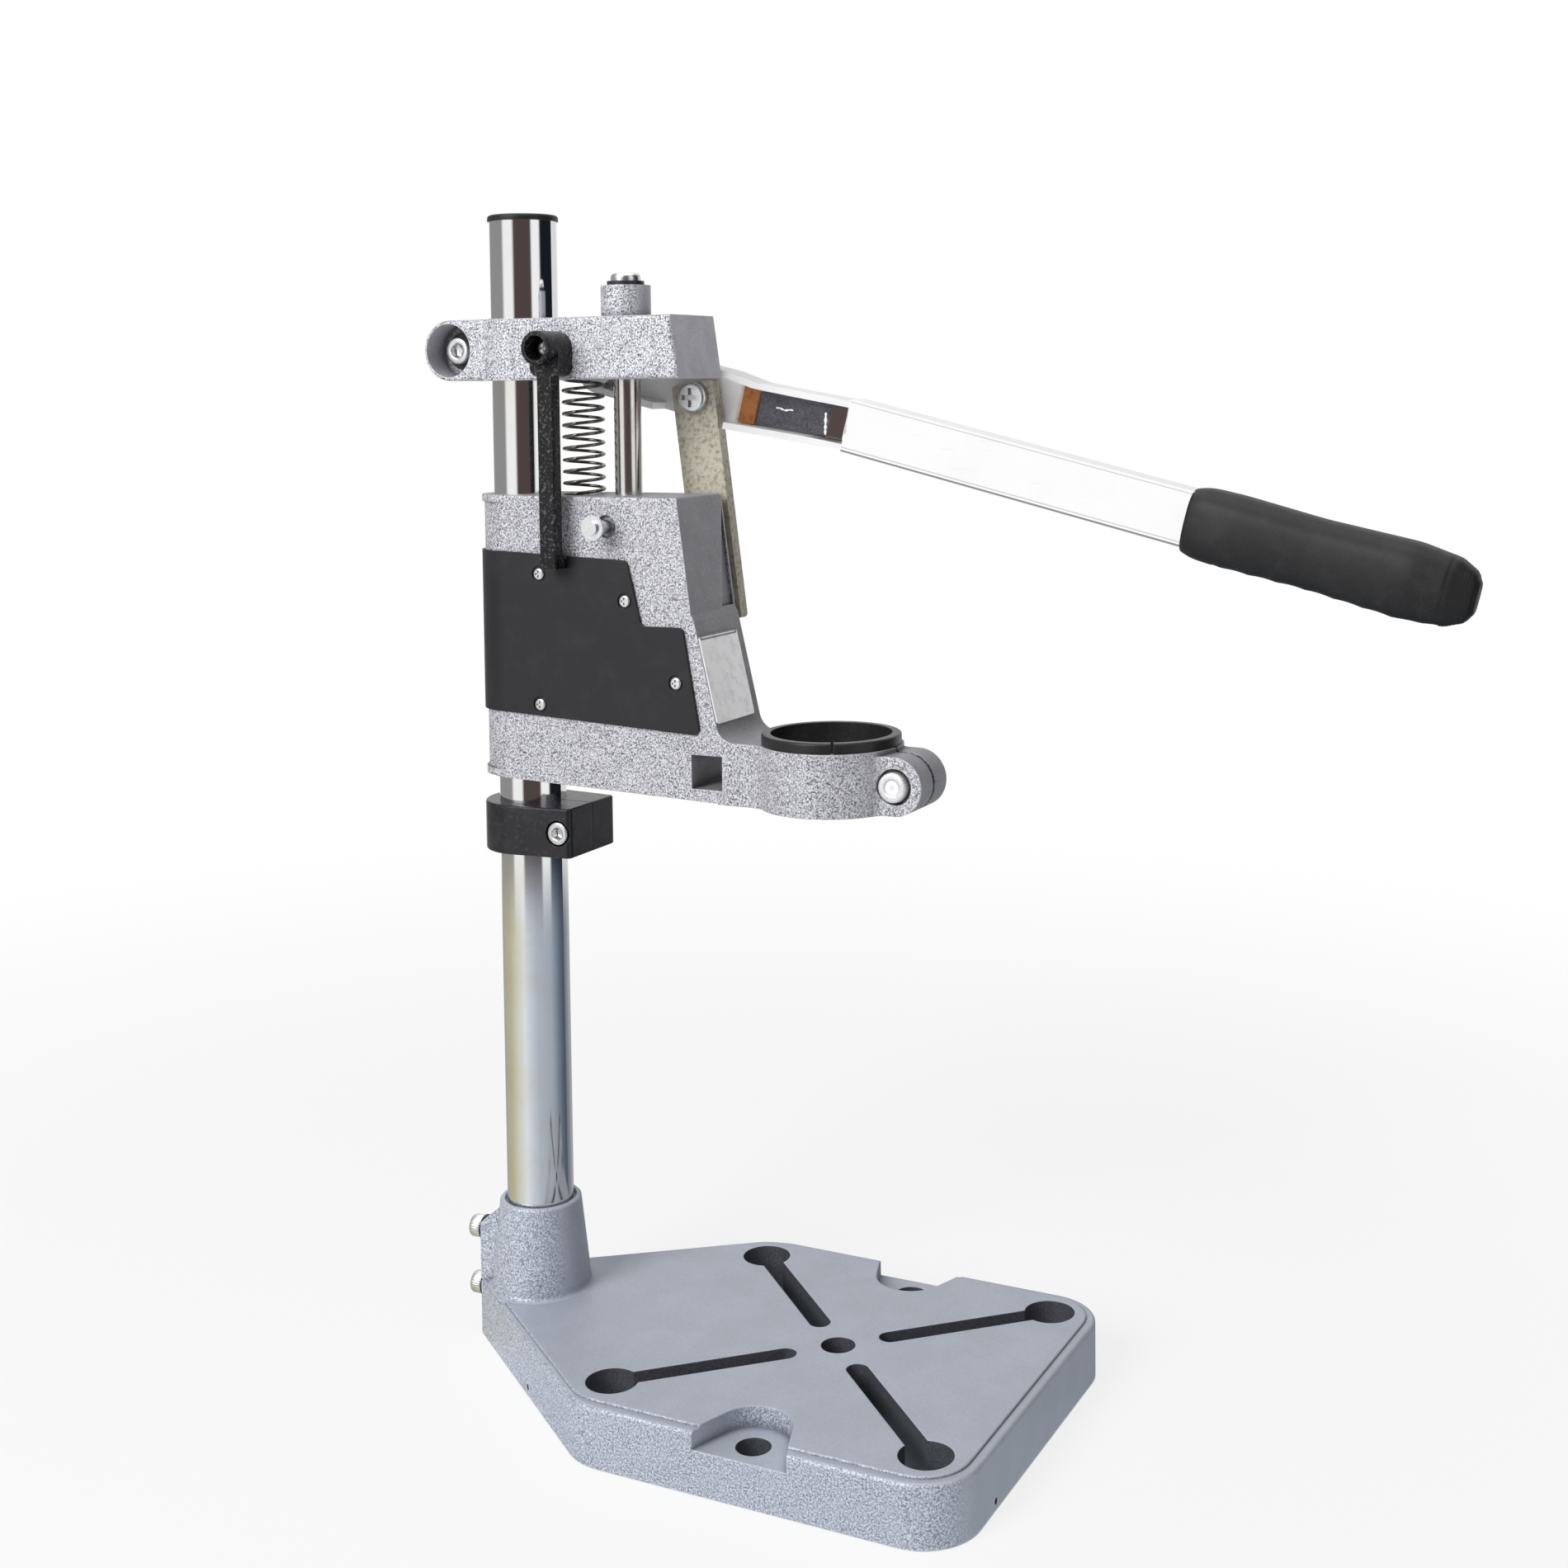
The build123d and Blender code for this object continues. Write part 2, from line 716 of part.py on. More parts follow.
clamp_sides = [facing(-head_rear_x, -clamp_seat_y, head_mid_z, near)]
clamp_sides.append(facing(-head_rear_x, clamp_seat_y, head_mid_z, far))
clamp_l = 2 * (clamp_seat_y + clamp_washer_t) + clamp_nut_h
clamp_screw = cap_screw(clamp_head_d, clamp_head_h, clamp_screw_d, clamp_l)
place("head_clamp_washers", washer(clamp_washer_d, clamp_screw_d, clamp_washer_t), clamp_sides)
place("head_clamp_screw", clamp_screw, [clamp_sides[0].offset(clamp_washer_t)])
clamp_nut = hex_nut(clamp_nut_w, clamp_nut_h, clamp_screw_d)
place("head_clamp_nut", clamp_nut, [clamp_sides[1].offset(clamp_washer_t)])

# Guide rod
with BuildPart() as guide_rod:
    with BuildSketch(Plane.XY.offset(rod_bottom_z)):
        with Locations((rod_x, 0)):
            Circle(rod_r)
    extrude(amount=rod_top_z - rod_bottom_z)
    chamfer(guide_rod.edges().group_by(Axis.Z)[0], rod_r * chamfer_share)
    drill(facing(rod_x, 0, rod_top_z, up), rod_screw_d / 2 + thread_gap, rod_screw_l)
keep(guide_rod, "guide_rod")
rod_seat = facing(rod_x, 0, rod_top_z, up)
place("guide_rod_washer", washer(rod_washer_d, rod_screw_d, rod_washer_t), [rod_seat])
rod_screw = pan_screw(rod_head_d, rod_head_h, rod_screw_d, rod_screw_l)
place("guide_rod_screw", rod_screw, [rod_seat.offset(rod_washer_t)])

# Depth arm: a boss on the head's side, a bar down past the carriage, and a foot
arm_face_y = head_half_w + arm_boss_l
arm_bar_y = head_half_w + arm_bar_out
foot_y = cover_y + foot_gap
bar_half_w = arm_bar_w / 2
with BuildPart() as depth_arm:
    with BuildSketch(side(-arm_bar_y)):
        with Locations((spring_x, (arm_bottom_z + arm_z) / 2)):
            Rectangle(arm_bar_w, arm_z - arm_bottom_z)
    extrude(amount=arm_bar_t)
    fillet(depth_arm.edges().filter_by(Axis.Z), arm_edge_r)
    with BuildSketch(side(-head_half_w)):
        with BuildLine():
            Line((spring_x - arm_boss_r, arm_z), (spring_x + arm_boss_r, arm_z))
            Line((spring_x + arm_boss_r, arm_z), (spring_x + arm_boss_r, arm_neck_z))
            RadiusArc(
                (spring_x + arm_boss_r, arm_neck_z),
                (spring_x + bar_half_w, arm_block_z),
                arm_neck_z - arm_block_z,
            )
            Line((spring_x + bar_half_w, arm_block_z), (spring_x - bar_half_w, arm_block_z))
            RadiusArc(
                (spring_x - bar_half_w, arm_block_z),
                (spring_x - arm_boss_r, arm_neck_z),
                arm_neck_z - arm_block_z,
            )
            Line((spring_x - arm_boss_r, arm_neck_z), (spring_x - arm_boss_r, arm_z))
        make_face()
    extrude(amount=arm_bar_out + arm_bar_t)
    with BuildSketch(side(-head_half_w)):
        with Locations((spring_x, arm_z)):
            Circle(arm_boss_r)
    extrude(amount=arm_boss_l)
    fillet(depth_arm.faces().sort_by(Axis.Y)[0].edges(), arm_edge_r)
    with BuildSketch(side(-foot_y)):
        with Locations((spring_x, arm_bottom_z + arm_foot_h / 2)):
            Rectangle(arm_bar_w, arm_foot_h)
    extrude(amount=arm_bar_y - foot_y)
    drill(facing(spring_x, -arm_face_y, arm_z, near), arm_pocket_r, arm_pocket_depth)
    drill(facing(spring_x, -arm_seat_y, arm_z, near), arm_screw_d / 2 + screw_gap, arm_seat_y)
keep(depth_arm, "depth_arm")
arm_screw = pan_screw(arm_head_d, arm_head_h, arm_screw_d, arm_screw_l)
place("depth_arm_screw", arm_screw, [facing(spring_x, -arm_seat_y, arm_z, near)])


# Return spring: one wire wound in even turns, whose ends bend up and down to their seats
def coil_point(turn):
    """The wire's middle line after a number of turns, and its direction there."""
    angle = 2 * pi * turn
    x = spring_x + spring_r * cos(angle)
    y = spring_r * sin(angle)
    return Vector(x, y, coil_bottom_z + coil_pitch * turn), Vector(
        -2 * pi * spring_r * sin(angle), 2 * pi * spring_r * cos(angle), coil_pitch
    ).normalized()


def arc_pair(start, start_way, end, end_way):
    """Add two arcs that leave start and reach end along the given directions."""
    chord = end - start
    both = start_way + end_way
    bend = 2 * (1 - start_way.dot(end_way))
    reach = (sqrt(chord.dot(both) ** 2 + bend * chord.dot(chord)) - chord.dot(both)) / bend
    joint = (start + end) * 0.5 + (start_way - end_way) * (reach * 0.5)
    TangentArc(start, joint, tangent=start_way)
    TangentArc(joint, end, tangent=chord - both * reach)


lead_h = wire_d + spring_lead_r
coil_bottom_z = spring_bottom_z + lead_h
coil_pitch = (spring_top_z - spring_bottom_z - 2 * lead_h) / spring_turns
coil_start, coil_start_way = coil_point(0)
coil_end, coil_end_way = coil_point(spring_turns)
upward = Vector(0, 0, 1)


def lead_bend(point, way, sign):
    """Where a bend of the lead radius has turned a direction to the vertical."""
    level = Vector(way.X, way.Y, 0).normalized() * sign
    tilt = sqrt(1 - way.Z**2)
    return point + level * (spring_lead_r * (1 - way.Z)) + upward * (sign * spring_lead_r * tilt)


with BuildPart() as return_spring:
    with BuildLine() as wire_line:
        low_bend = lead_bend(coil_start, coil_start_way, -1)
        top_bend = lead_bend(coil_end, coil_end_way, 1)
        wire_foot = Vector(low_bend.X, low_bend.Y, spring_bottom_z)
        Line(wire_foot, low_bend)
        TangentArc(low_bend, coil_start, tangent=upward)
        for quarter in range(4 * spring_turns):
            arc_pair(*coil_point(quarter / 4), *coil_point((quarter + 1) / 4))
        TangentArc(coil_end, top_bend, tangent=coil_end_way)
        Line(top_bend, Vector(top_bend.X, top_bend.Y, spring_top_z))
    with BuildSketch(facing(wire_foot.X, wire_foot.Y, wire_foot.Z, up)):
        Circle(wire_r)
    sweep()
keep(return_spring, "return_spring")

wire = wire_line.wire()
turn_points = 60
wire_points = [wire.position_at(i / turn_points / spring_turns) for i in range(turn_points * spring_turns)]
least = min(
    (wire_points[i] - wire_points[j]).length
    for i in range(len(wire_points))
    for j in range(i + turn_points // 2, min(i + 2 * turn_points, len(wire_points)))
)
print("least gap of the spring to itself", round(least - wire_d, 2))


# Lever: pieces are sketched along it, from its side and from above, on planes that lean with it
def lever_side(y):
    """A plane across Y at the fulcrum whose X runs along the lever."""
    return Plane(origin=(fulcrum_x, y, fulcrum_z), x_dir=(cos(drop), 0, -sin(drop)), z_dir=near)


def lever_cross(along, across):
    """A plane square to the lever at a distance along it, whose X is the world's Y."""
    place_on = lever_side(0).from_local_coords(Vector(along, across, 0))
    return Plane(origin=place_on, x_dir=far, z_dir=(cos(drop), 0, -sin(drop)))


def channel_outline(inset):
    """Sketch the channel's side view, drawn in by an inset, with a round root."""
    root = root_half_h - inset
    end = bar_start + (cut_over if inset else 0)
    with BuildSketch() as outline:
        Circle(root)
        Polygon(
            (0, -root),
            (root_end, -root),
            (waist, inset - waist_low),
            (end, inset - waist_low),
            (end, waist_top - inset),
            (waist, waist_top - inset),
            (dip, dip_top - inset),
            (root_end, root),
            (0, root),
            align=None,
        )
    return outline.sketch


def bow_band(near_y, far_y):
    """Keep what lies between two faces that follow the lever's bow, at distances out at its root."""
    start = -2 * root_half_h
    end = bar_start + cut_over
    slant = lever_bow / (bar_start - bow_start)
    bow_end = lever_bow + slant * cut_over
    below = lever_side(0).from_local_coords(Vector(0, start, 0))
    across = (sin(drop), 0, cos(drop))
    with BuildSketch(Plane(origin=below, x_dir=(cos(drop), 0, -sin(drop)), z_dir=across)) as band:
        Polygon(
            (start, near_y),
            (bow_start, near_y),
            (end, near_y + bow_end),
            (end, far_y + bow_end),
            (bow_start, far_y),
            (start, far_y),
            align=None,
        )
    extrude(band.sketch, amount=-2 * start, mode=Mode.INTERSECT)


def block(start, end, low, top):
    """Sketch a rectangle between two places along the lever and two across it."""
    with Locations(((start + end) / 2, (low + top) / 2)):
        Rectangle(end - start, top - low)


def slip(start, end, thickness):
    """Add a plate that lies on the channel's web, between its flanges and two places along it."""
    with BuildSketch(lever_side(lever_far_y + lever_bow)) as outline:
        add(channel_outline(lever_skin + neck_gap))
        with BuildSketch(mode=Mode.INTERSECT):
            block(start, end, -root_half_h, root_half_h)
    extrude(outline.sketch, amount=lever_depth + lever_bow)
    bow_band(web_y - thickness, web_y)


with BuildPart() as lever_hollow:
    with BuildSketch(lever_side(web_y + lever_bow + cut_over)):
        add(channel_outline(lever_skin))
    extrude(amount=lever_depth + lever_bow + 2 * cut_over)
    bow_band(lever_y - cut_over, web_y)

with BuildPart() as lever_channel:
    with BuildSketch(lever_side(lever_far_y + lever_bow)):
        add(channel_outline(0))
    extrude(amount=lever_depth + lever_bow)
    bow_band(lever_y, lever_far_y)
    add(lever_hollow.part, mode=Mode.SUBTRACT)
    with BuildSketch(lever_side(web_y)):
        block(link_window_start, link_window_end, -root_half_h - cut_over, -pin_below)
    extrude(amount=lever_depth, mode=Mode.SUBTRACT)
    with BuildSketch(lever_side(lever_far_y)):
        Circle(fulcrum_d / 2 + running_gap)
        with Locations((pin_along, -pin_below)):
            Circle(link_screw_d / 2 + screw_gap)
    extrude(amount=lever_skin, mode=Mode.SUBTRACT)
keep(lever_channel, "lever_channel")

# Strip, plate and the bar's tongue lie on the web, between the channel's flanges
plate_start = neck_strip_start + neck_strip_w
plate_end = bar_start - tongue_l
with BuildPart() as neck_strip:
    slip(neck_strip_start, plate_start, neck_strip_t)
keep(neck_strip, "neck_strip")

with BuildPart() as neck_plate:
    slip(plate_start, plate_end, neck_plate_t)
keep(neck_plate, "neck_plate")

with BuildPart() as tongue:
    slip(plate_end, bar_start, tongue_t)

bar_far_y = lever_far_y + lever_bow
with BuildPart() as lever_bar:
    with BuildSketch(lever_side(bar_far_y)):
        block(bar_start, bar_end, -bar_half_h, bar_half_h)
    extrude(amount=lever_depth)
    with BuildSketch(lever_side(bar_far_y - bar_skin)):
        block(bar_start + bar_skin, bar_end - bar_skin, bar_skin - bar_half_h, bar_half_h - bar_skin)
    extrude(amount=lever_depth - 2 * bar_skin, mode=Mode.SUBTRACT)
    add(tongue.part)
keep(lever_bar, "lever_bar")

with BuildPart() as lever_grip:
    grip_y = bar_far_y - lever_depth / 2
    for place_share, h_share, w_share in zip(grip_places_share, grip_heights_share, grip_widths_share):
        middle = lever_cross(grip_start + grip_l * place_share, grip_middle)
        with BuildSketch(Plane(origin=middle.origin + Vector(0, grip_y, 0), x_dir=far, z_dir=middle.z_dir)):
            RectangleRounded(grip_w * w_share, grip_h * h_share, grip_w * w_share * grip_round_share)
    loft()
    with BuildSketch(lever_side(bar_far_y + thread_gap)):
        grown = bar_half_h + thread_gap
        block(grip_start - cut_over, bar_end + thread_gap, -grown, grown)
    extrude(amount=lever_depth + 2 * thread_gap, mode=Mode.SUBTRACT)
keep(lever_grip, "lever_grip")

# Fulcrum: a bush that spaces the lever from the head, and the screw that it turns on
with BuildPart() as fulcrum_bush:
    with BuildSketch(facing(fulcrum_x, head_half_w, fulcrum_z, far)):
        Circle(fulcrum_bush_d / 2)
        Circle(fulcrum_d / 2 + thread_gap, mode=Mode.SUBTRACT)
    extrude(amount=web_y - side_play - head_half_w)
keep(fulcrum_bush, "fulcrum_bush")
fulcrum_seat = facing(fulcrum_x, lever_far_y + side_play, fulcrum_z, far)
fulcrum_l = lever_far_y + side_play - head_half_w + fulcrum_thread_l
fulcrum_screw = cap_screw(fulcrum_head_d, fulcrum_head_h, fulcrum_d, fulcrum_l)
place("fulcrum_screw", fulcrum_screw, [fulcrum_seat])

# Link, its screw in the lever and the screw that it hangs round on the carriage
with BuildPart() as link_bar:
    link_plane = Plane(origin=(pin_x, link_far_y, pin_z), x_dir=(cos(lean), 0, sin(lean)), z_dir=near)
    with BuildSketch(link_plane):
        with Locations((0, (link_top - link_l - link_foot) / 2)):
            RectangleRounded(link_w, link_top + link_l + link_foot, link_corner_r)
        Circle(link_screw_d / 2 + running_gap, mode=Mode.SUBTRACT)
        with Locations((0, -link_l)):
            Circle(pivot_d / 2 + link_slack, mode=Mode.SUBTRACT)
    extrude(amount=link_t)
keep(link_bar, "link_bar")

link_seat = facing(pin_x, link_y - side_play, pin_z, near)
link_screw_l = lever_far_y + link_nut_h - link_y + side_play
link_screw = pan_screw(link_head_d, link_head_h, link_screw_d, link_screw_l)
place("link_pin_screw", link_screw, [link_seat])
link_washer = washer(link_washer_d, link_screw_d, web_y - link_far_y - side_play)
place("link_pin_washer", link_washer, [facing(pin_x, link_far_y + side_play, pin_z, far)])
link_nut = hex_nut(link_nut_w, link_nut_h, link_screw_d)
place("link_pin_nut", link_nut, [facing(pin_x, lever_far_y, pin_z, far)])

pivot_seat = facing(pivot_x, link_far_y + side_play, pivot_z, far)
pivot_l = link_far_y + side_play - carriage_half_w + pivot_thread_l
place("link_pivot_screw", cap_screw(pivot_head_d, pivot_head_h, pivot_d, pivot_l), [pivot_seat])


# Carriage: one casting whose body slides on the column and the rod, and whose arm
# ends in the ring for the drill's collar
foot = (front_low_x + (front_low_z - collar_top_z) * tan(front_lean), collar_top_z)
with BuildPart() as carriage_casting:
    with BuildSketch(side(carriage_half_w)) as body_side:
        with BuildLine():
            Polyline(
                (-carriage_half_w, carriage_rear_bottom_z),
                (-carriage_half_w, carriage_top_z),
                (carriage_front_top_x, carriage_top_z),
                (ledge_x, ledge_z),
                (ledge_x + ledge_step, ledge_z - ledge_drop),
                foot,
                (collar_x, collar_top_z),
                (collar_x, collar_bottom_z),
                (collar_x - collar_ring_r, collar_bottom_z),
                close=True,
            )
        make_face()
        fillet(body_side.vertices().sort_by_distance(foot)[0], front_curve_r)
    extrude(amount=2 * carriage_half_w)
    with BuildSketch(Plane.XY.offset(collar_bottom_z)):
        Circle(carriage_half_w)
        with Locations((collar_x / 2, 0)):
            Rectangle(collar_x, 2 * carriage_half_w)
    extrude(amount=carriage_top_z - collar_bottom_z, mode=Mode.INTERSECT)
    fillet(carriage_casting.faces().sort_by(Axis.Z)[-1].edges(), top_edge_r)
    for lip_z in (carriage_rear_bottom_z, carriage_top_z - lip_h):
        with BuildSketch(Plane.XY.offset(lip_z)):
            Circle(carriage_half_w + lip_out)
            Rectangle(3 * carriage_half_w, 2 * carriage_half_w, mode=Mode.INTERSECT)
            with Locations((carriage_half_w, 0)):
                Rectangle(2 * carriage_half_w, 3 * carriage_half_w, mode=Mode.SUBTRACT)
        extrude(amount=lip_h)
    with BuildSketch(Plane.XY.offset(collar_bottom_z)) as ring_plan:
        with Locations((collar_x, 0)):
            Circle(collar_ring_r)
        with Locations(((front_low_x + collar_x) / 2, 0)):
            Rectangle(collar_x - front_low_x, 2 * carriage_half_w)
        meet_x = collar_x - sqrt(collar_ring_r**2 - carriage_half_w**2)
        for y in (-carriage_half_w, carriage_half_w):
            fillet(ring_plan.vertices().sort_by_distance((meet_x, y))[0], collar_blend_r)
    extrude(amount=collar_top_z - collar_bottom_z)
    with BuildSketch(side(ear_half_w)):
        with Locations((ear_x, ear_z)):
            Circle(ear_r)
    extrude(amount=2 * ear_half_w)
    with BuildSketch(Plane.XY.offset(ear_z - ear_r)) as ear_plan:
        with Locations((collar_x, 0)):
            Circle(collar_ring_r)
        with Locations(((collar_x + ear_x) / 2, 0)):
            Rectangle(ear_x - collar_x, 2 * ear_half_w)
        web_x = collar_x + sqrt(collar_ring_r**2 - ear_half_w**2)
        for y in (-ear_half_w, ear_half_w):
            fillet(ear_plan.vertices().sort_by_distance((web_x, y))[0], ear_blend_r)
    extrude(amount=2 * ear_r)
    with BuildSketch(facing(pivot_x, carriage_half_w, pivot_z, far)):
        Circle(pivot_boss_r)
    extrude(amount=link_y - side_play - carriage_half_w)
    ring_h = collar_top_z - collar_bottom_z
    drill(facing(collar_x, 0, collar_top_z, up), liner_r + thread_gap, ring_h + cut_over)
    split_start = collar_x + liner_bore_r
    split_l = ear_x + ear_r + cut_over - split_start
    with BuildSketch(Plane.XY.offset(collar_bottom_z)):
        with Locations((split_start + split_l / 2, 0)):
            Rectangle(split_l, ear_split)
    extrude(amount=collar_top_z - collar_bottom_z, mode=Mode.SUBTRACT)
    ear_face = facing(ear_x, -ear_half_w, ear_z, near)
    drill(ear_face, collar_screw_d / 2 + screw_gap, 2 * ear_half_w + cut_over)
    drill(ear_face, ear_pocket_r, ear_pocket_depth)
    with BuildSketch(facing(ear_x, ear_half_w, ear_z, far)):
        Circle(collar_nut_face_r)
    extrude(amount=collar_nut_h, mode=Mode.SUBTRACT)
    body_h = carriage_top_z - collar_bottom_z
    drill(facing(0, 0, carriage_top_z, up), column_r + running_gap, body_h)
    drill(facing(rod_x, 0, carriage_top_z, up), rod_r + running_gap, carriage_top_z - rod_bore_bottom_z)
    drill(facing(spring_x, 0, carriage_top_z, up), pocket_r, spring_carriage_pocket)
    with BuildSketch(side(carriage_half_w)):
        with Locations((square_start_x + square_w / 2, square_start_z + square_h / 2)):
            Rectangle(square_w, square_h)
    extrude(amount=2 * carriage_half_w, mode=Mode.SUBTRACT)
    top_way = (cos(top_lean), 0, sin(top_lean))
    with BuildSketch(Plane(origin=(ledge_x, carriage_half_w, ledge_z), x_dir=far, z_dir=top_way)):
        Polygon((-facet_w, facet_rim), (-facet_rim, facet_rim), (-facet_rim, facet_h), align=None)
    extrude(amount=-facet_depth, mode=Mode.SUBTRACT)
    lock_hole = facing(rod_x, -carriage_half_w, lock_z, near)
    drill(lock_hole, lock_pocket_r, lock_pocket_depth)
    drill(lock_hole, lock_d / 2 + thread_gap, carriage_half_w)
    pivot_hole = facing(pivot_x, link_y - side_play, pivot_z, far)
    drill(pivot_hole, pivot_d / 2 + thread_gap, link_y - carriage_half_w + pivot_thread_l + tip_gap)
    for x, z in cover_screw_places:
        cover_hole_l = cover_screw_l - cover_t + cover_dimple_depth + tip_gap
        drill(facing(x, -carriage_half_w, z, near), cover_screw_d / 2 + thread_gap, cover_hole_l)
keep(carriage_casting, "carriage_casting")

# Cover: a flat side that wraps round the carriage's rear
with BuildPart() as cover_plate:
    with BuildSketch(Plane.XY.offset(cover_low_z)):
        Circle(cover_y)
        Circle(carriage_half_w, mode=Mode.SUBTRACT)
        with Locations((0, cover_y), (cover_y, 0)):
            Rectangle(2 * cover_y, 2 * cover_y, mode=Mode.SUBTRACT)
        with Locations((cover_low_x / 2, -carriage_half_w - cover_t / 2)):
            Rectangle(cover_low_x, cover_t)
    extrude(amount=cover_rear_top_z - cover_low_z)
    with BuildSketch(side(0)) as cover_side:
        Polygon(
            (-2 * cover_y, cover_rear_low_z),
            (0, cover_rear_low_z),
            (cover_low_x, cover_low_z),
            (cover_far_x, cover_step_z),
            (cover_step_x, cover_step_z),
            (cover_top_x, cover_top_z),
            (0, cover_rear_top_z),
            (-2 * cover_y, cover_rear_top_z),
            align=None,
        )
        fillet(cover_side.vertices().sort_by(Axis.X)[-5:], cover_corner_r)
    extrude(amount=2 * cover_y, mode=Mode.INTERSECT)
    for x, z in cover_screw_places:
        drill(facing(x, -cover_y, z, near), cover_dimple_r, cover_dimple_depth)
        drill(facing(x, -cover_y, z, near), cover_screw_d / 2 + screw_gap, 2 * cover_t)
keep(cover_plate, "cover_plate")
cover_screw = pan_screw(cover_head_d, cover_head_h, cover_screw_d, cover_screw_l)
cover_seats = [facing(x, cover_dimple_depth - cover_y, z, near) for x, z in cover_screw_places]
place("cover_screws", cover_screw, cover_seats)

# Lock screw, aimed at the guide rod
lock_l = carriage_half_w + lock_out - rod_r - tip_gap
with BuildPart() as lock_screw:
    with BuildSketch(facing(rod_x, -carriage_half_w - lock_out, lock_z, near)):
        Circle(lock_head_d / 2)
    extrude(amount=lock_head_h / 2)
    with BuildSketch(facing(rod_x, -carriage_half_w - lock_out, lock_z, near)):
        Circle(lock_d / 2)
    extrude(amount=lock_head_h)
    with BuildSketch(facing(rod_x, -carriage_half_w - lock_out, lock_z, near)):
        Circle(lock_d / 2)
    extrude(amount=-lock_l)
keep(lock_screw, "lock_screw")

# Label plate on the carriage's sloped front
with BuildPart() as label_plate:
    label_z = front_low_z + (ledge_z - ledge_drop - front_low_z) * label_place_share
    label_x = front_low_x - (label_z - front_low_z) * tan(front_lean)
    label_way = (cos(front_lean), 0, sin(front_lean))
    with BuildSketch(Plane(origin=(label_x, label_y, label_z), x_dir=far, z_dir=label_way)):
        RectangleRounded(label_w, label_h, label_corner_r)
    extrude(amount=label_t)
keep(label_plate, "label_plate")

# Collar liner with its slit, and the ring's clamp screw
with BuildPart() as collar_liner:
    with BuildSketch(Plane.XY.offset(collar_bottom_z)):
        with Locations((collar_x, 0)):
            Circle(liner_r)
    extrude(amount=collar_top_z - collar_bottom_z)
    with BuildSketch(Plane.XY.offset(collar_top_z)):
        with Locations((collar_x, 0)):
            Circle(liner_flange_r)
    extrude(amount=liner_flange_h)
    liner_top_z = collar_top_z + liner_flange_h
    fillet(collar_liner.edges().group_by(Axis.Z)[-1], collar_edge_r)
    drill(facing(collar_x, 0, liner_top_z, up), liner_bore_r, liner_top_z - collar_bottom_z + cut_over)
    with BuildSketch(Plane.XY.offset(collar_bottom_z)):
        with Locations(Location((collar_x, 0, 0), (0, 0, liner_slit_angle))):
            with Locations((liner_bore_r, 0)):
                Rectangle(2 * liner_flange_h, liner_slit_w)
    extrude(amount=liner_top_z - collar_bottom_z, mode=Mode.SUBTRACT)
keep(collar_liner, "collar_liner")

ear_seat_y = ear_half_w - ear_pocket_depth
collar_screw_l = ear_seat_y + ear_half_w + collar_nut_h
collar_screw = cap_screw(collar_head_d, collar_head_h, collar_screw_d, collar_screw_l)
place("collar_screw", collar_screw, [facing(ear_x, -ear_seat_y, ear_z, near)])
collar_nut = hex_nut(collar_nut_w, collar_nut_h, collar_screw_d)
place("collar_nut", collar_nut, [facing(ear_x, ear_half_w, ear_z, far)])

# The finished stand
stand = Compound(label="drill_stand", children=finished)
size = stand.bounding_box().size
print(f"drill stand: {len(finished)} pieces, {size.X:.1f} x {size.Y:.1f} x {size.Z:.1f} mm")
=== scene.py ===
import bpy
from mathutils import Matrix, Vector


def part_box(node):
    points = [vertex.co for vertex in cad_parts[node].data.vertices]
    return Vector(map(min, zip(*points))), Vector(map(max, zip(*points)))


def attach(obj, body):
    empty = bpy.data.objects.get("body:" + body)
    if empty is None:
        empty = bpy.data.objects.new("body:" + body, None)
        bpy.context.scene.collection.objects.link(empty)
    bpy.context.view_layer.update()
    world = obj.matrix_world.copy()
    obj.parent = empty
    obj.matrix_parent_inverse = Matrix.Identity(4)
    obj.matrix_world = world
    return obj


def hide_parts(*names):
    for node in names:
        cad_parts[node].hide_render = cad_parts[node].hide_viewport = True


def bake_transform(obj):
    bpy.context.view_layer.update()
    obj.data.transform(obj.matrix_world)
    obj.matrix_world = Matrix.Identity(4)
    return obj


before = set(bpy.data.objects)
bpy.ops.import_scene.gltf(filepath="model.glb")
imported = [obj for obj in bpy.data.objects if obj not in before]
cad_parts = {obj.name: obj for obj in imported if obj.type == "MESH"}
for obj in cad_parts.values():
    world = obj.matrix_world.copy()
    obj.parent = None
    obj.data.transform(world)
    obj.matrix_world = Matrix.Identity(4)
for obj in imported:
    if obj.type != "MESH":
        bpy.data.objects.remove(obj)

"""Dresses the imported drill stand: camera, studio, finishes and the finely shaped pieces.

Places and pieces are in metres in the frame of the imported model: the origin lies on the column's
axis in the plane that the base stands on, +X points to the drill's collar, +Y to the lever's side
and +Z up. The sizes in a finish are in millimetres.
"""

import logging
from dataclasses import dataclass
from enum import Enum
from math import cos, pi, radians, sin, tau
from typing import Any, Callable, Sequence

import bpy
import numpy as np
from mathutils import Matrix, Vector

LOG = logging.getLogger("drill_stand")
MM = 0.001
Colour = tuple[float, float, float]
Point = tuple[float, float, float]
Span = tuple[float, float]  # where a smooth step starts, and where it reaches 1
Bands = Sequence[tuple[float, Colour]]  # bearings in degrees, each with its colour
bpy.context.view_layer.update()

# Places of sockets among those of their nodes
OBJECT, NORMAL, OPENNESS = 3, 1, 1
CAMERA_RAY, DIFFUSE_RAY, GLOSSY_RAY, TRANSMISSION_RAY = 0, 2, 3, 6
FACTOR, FIRST_COLOUR, SECOND_COLOUR, MIXED_COLOUR = 0, 6, 7, 2
MEASURES = ("DOT_PRODUCT", "DISTANCE", "LENGTH")  # vector operations that give a number

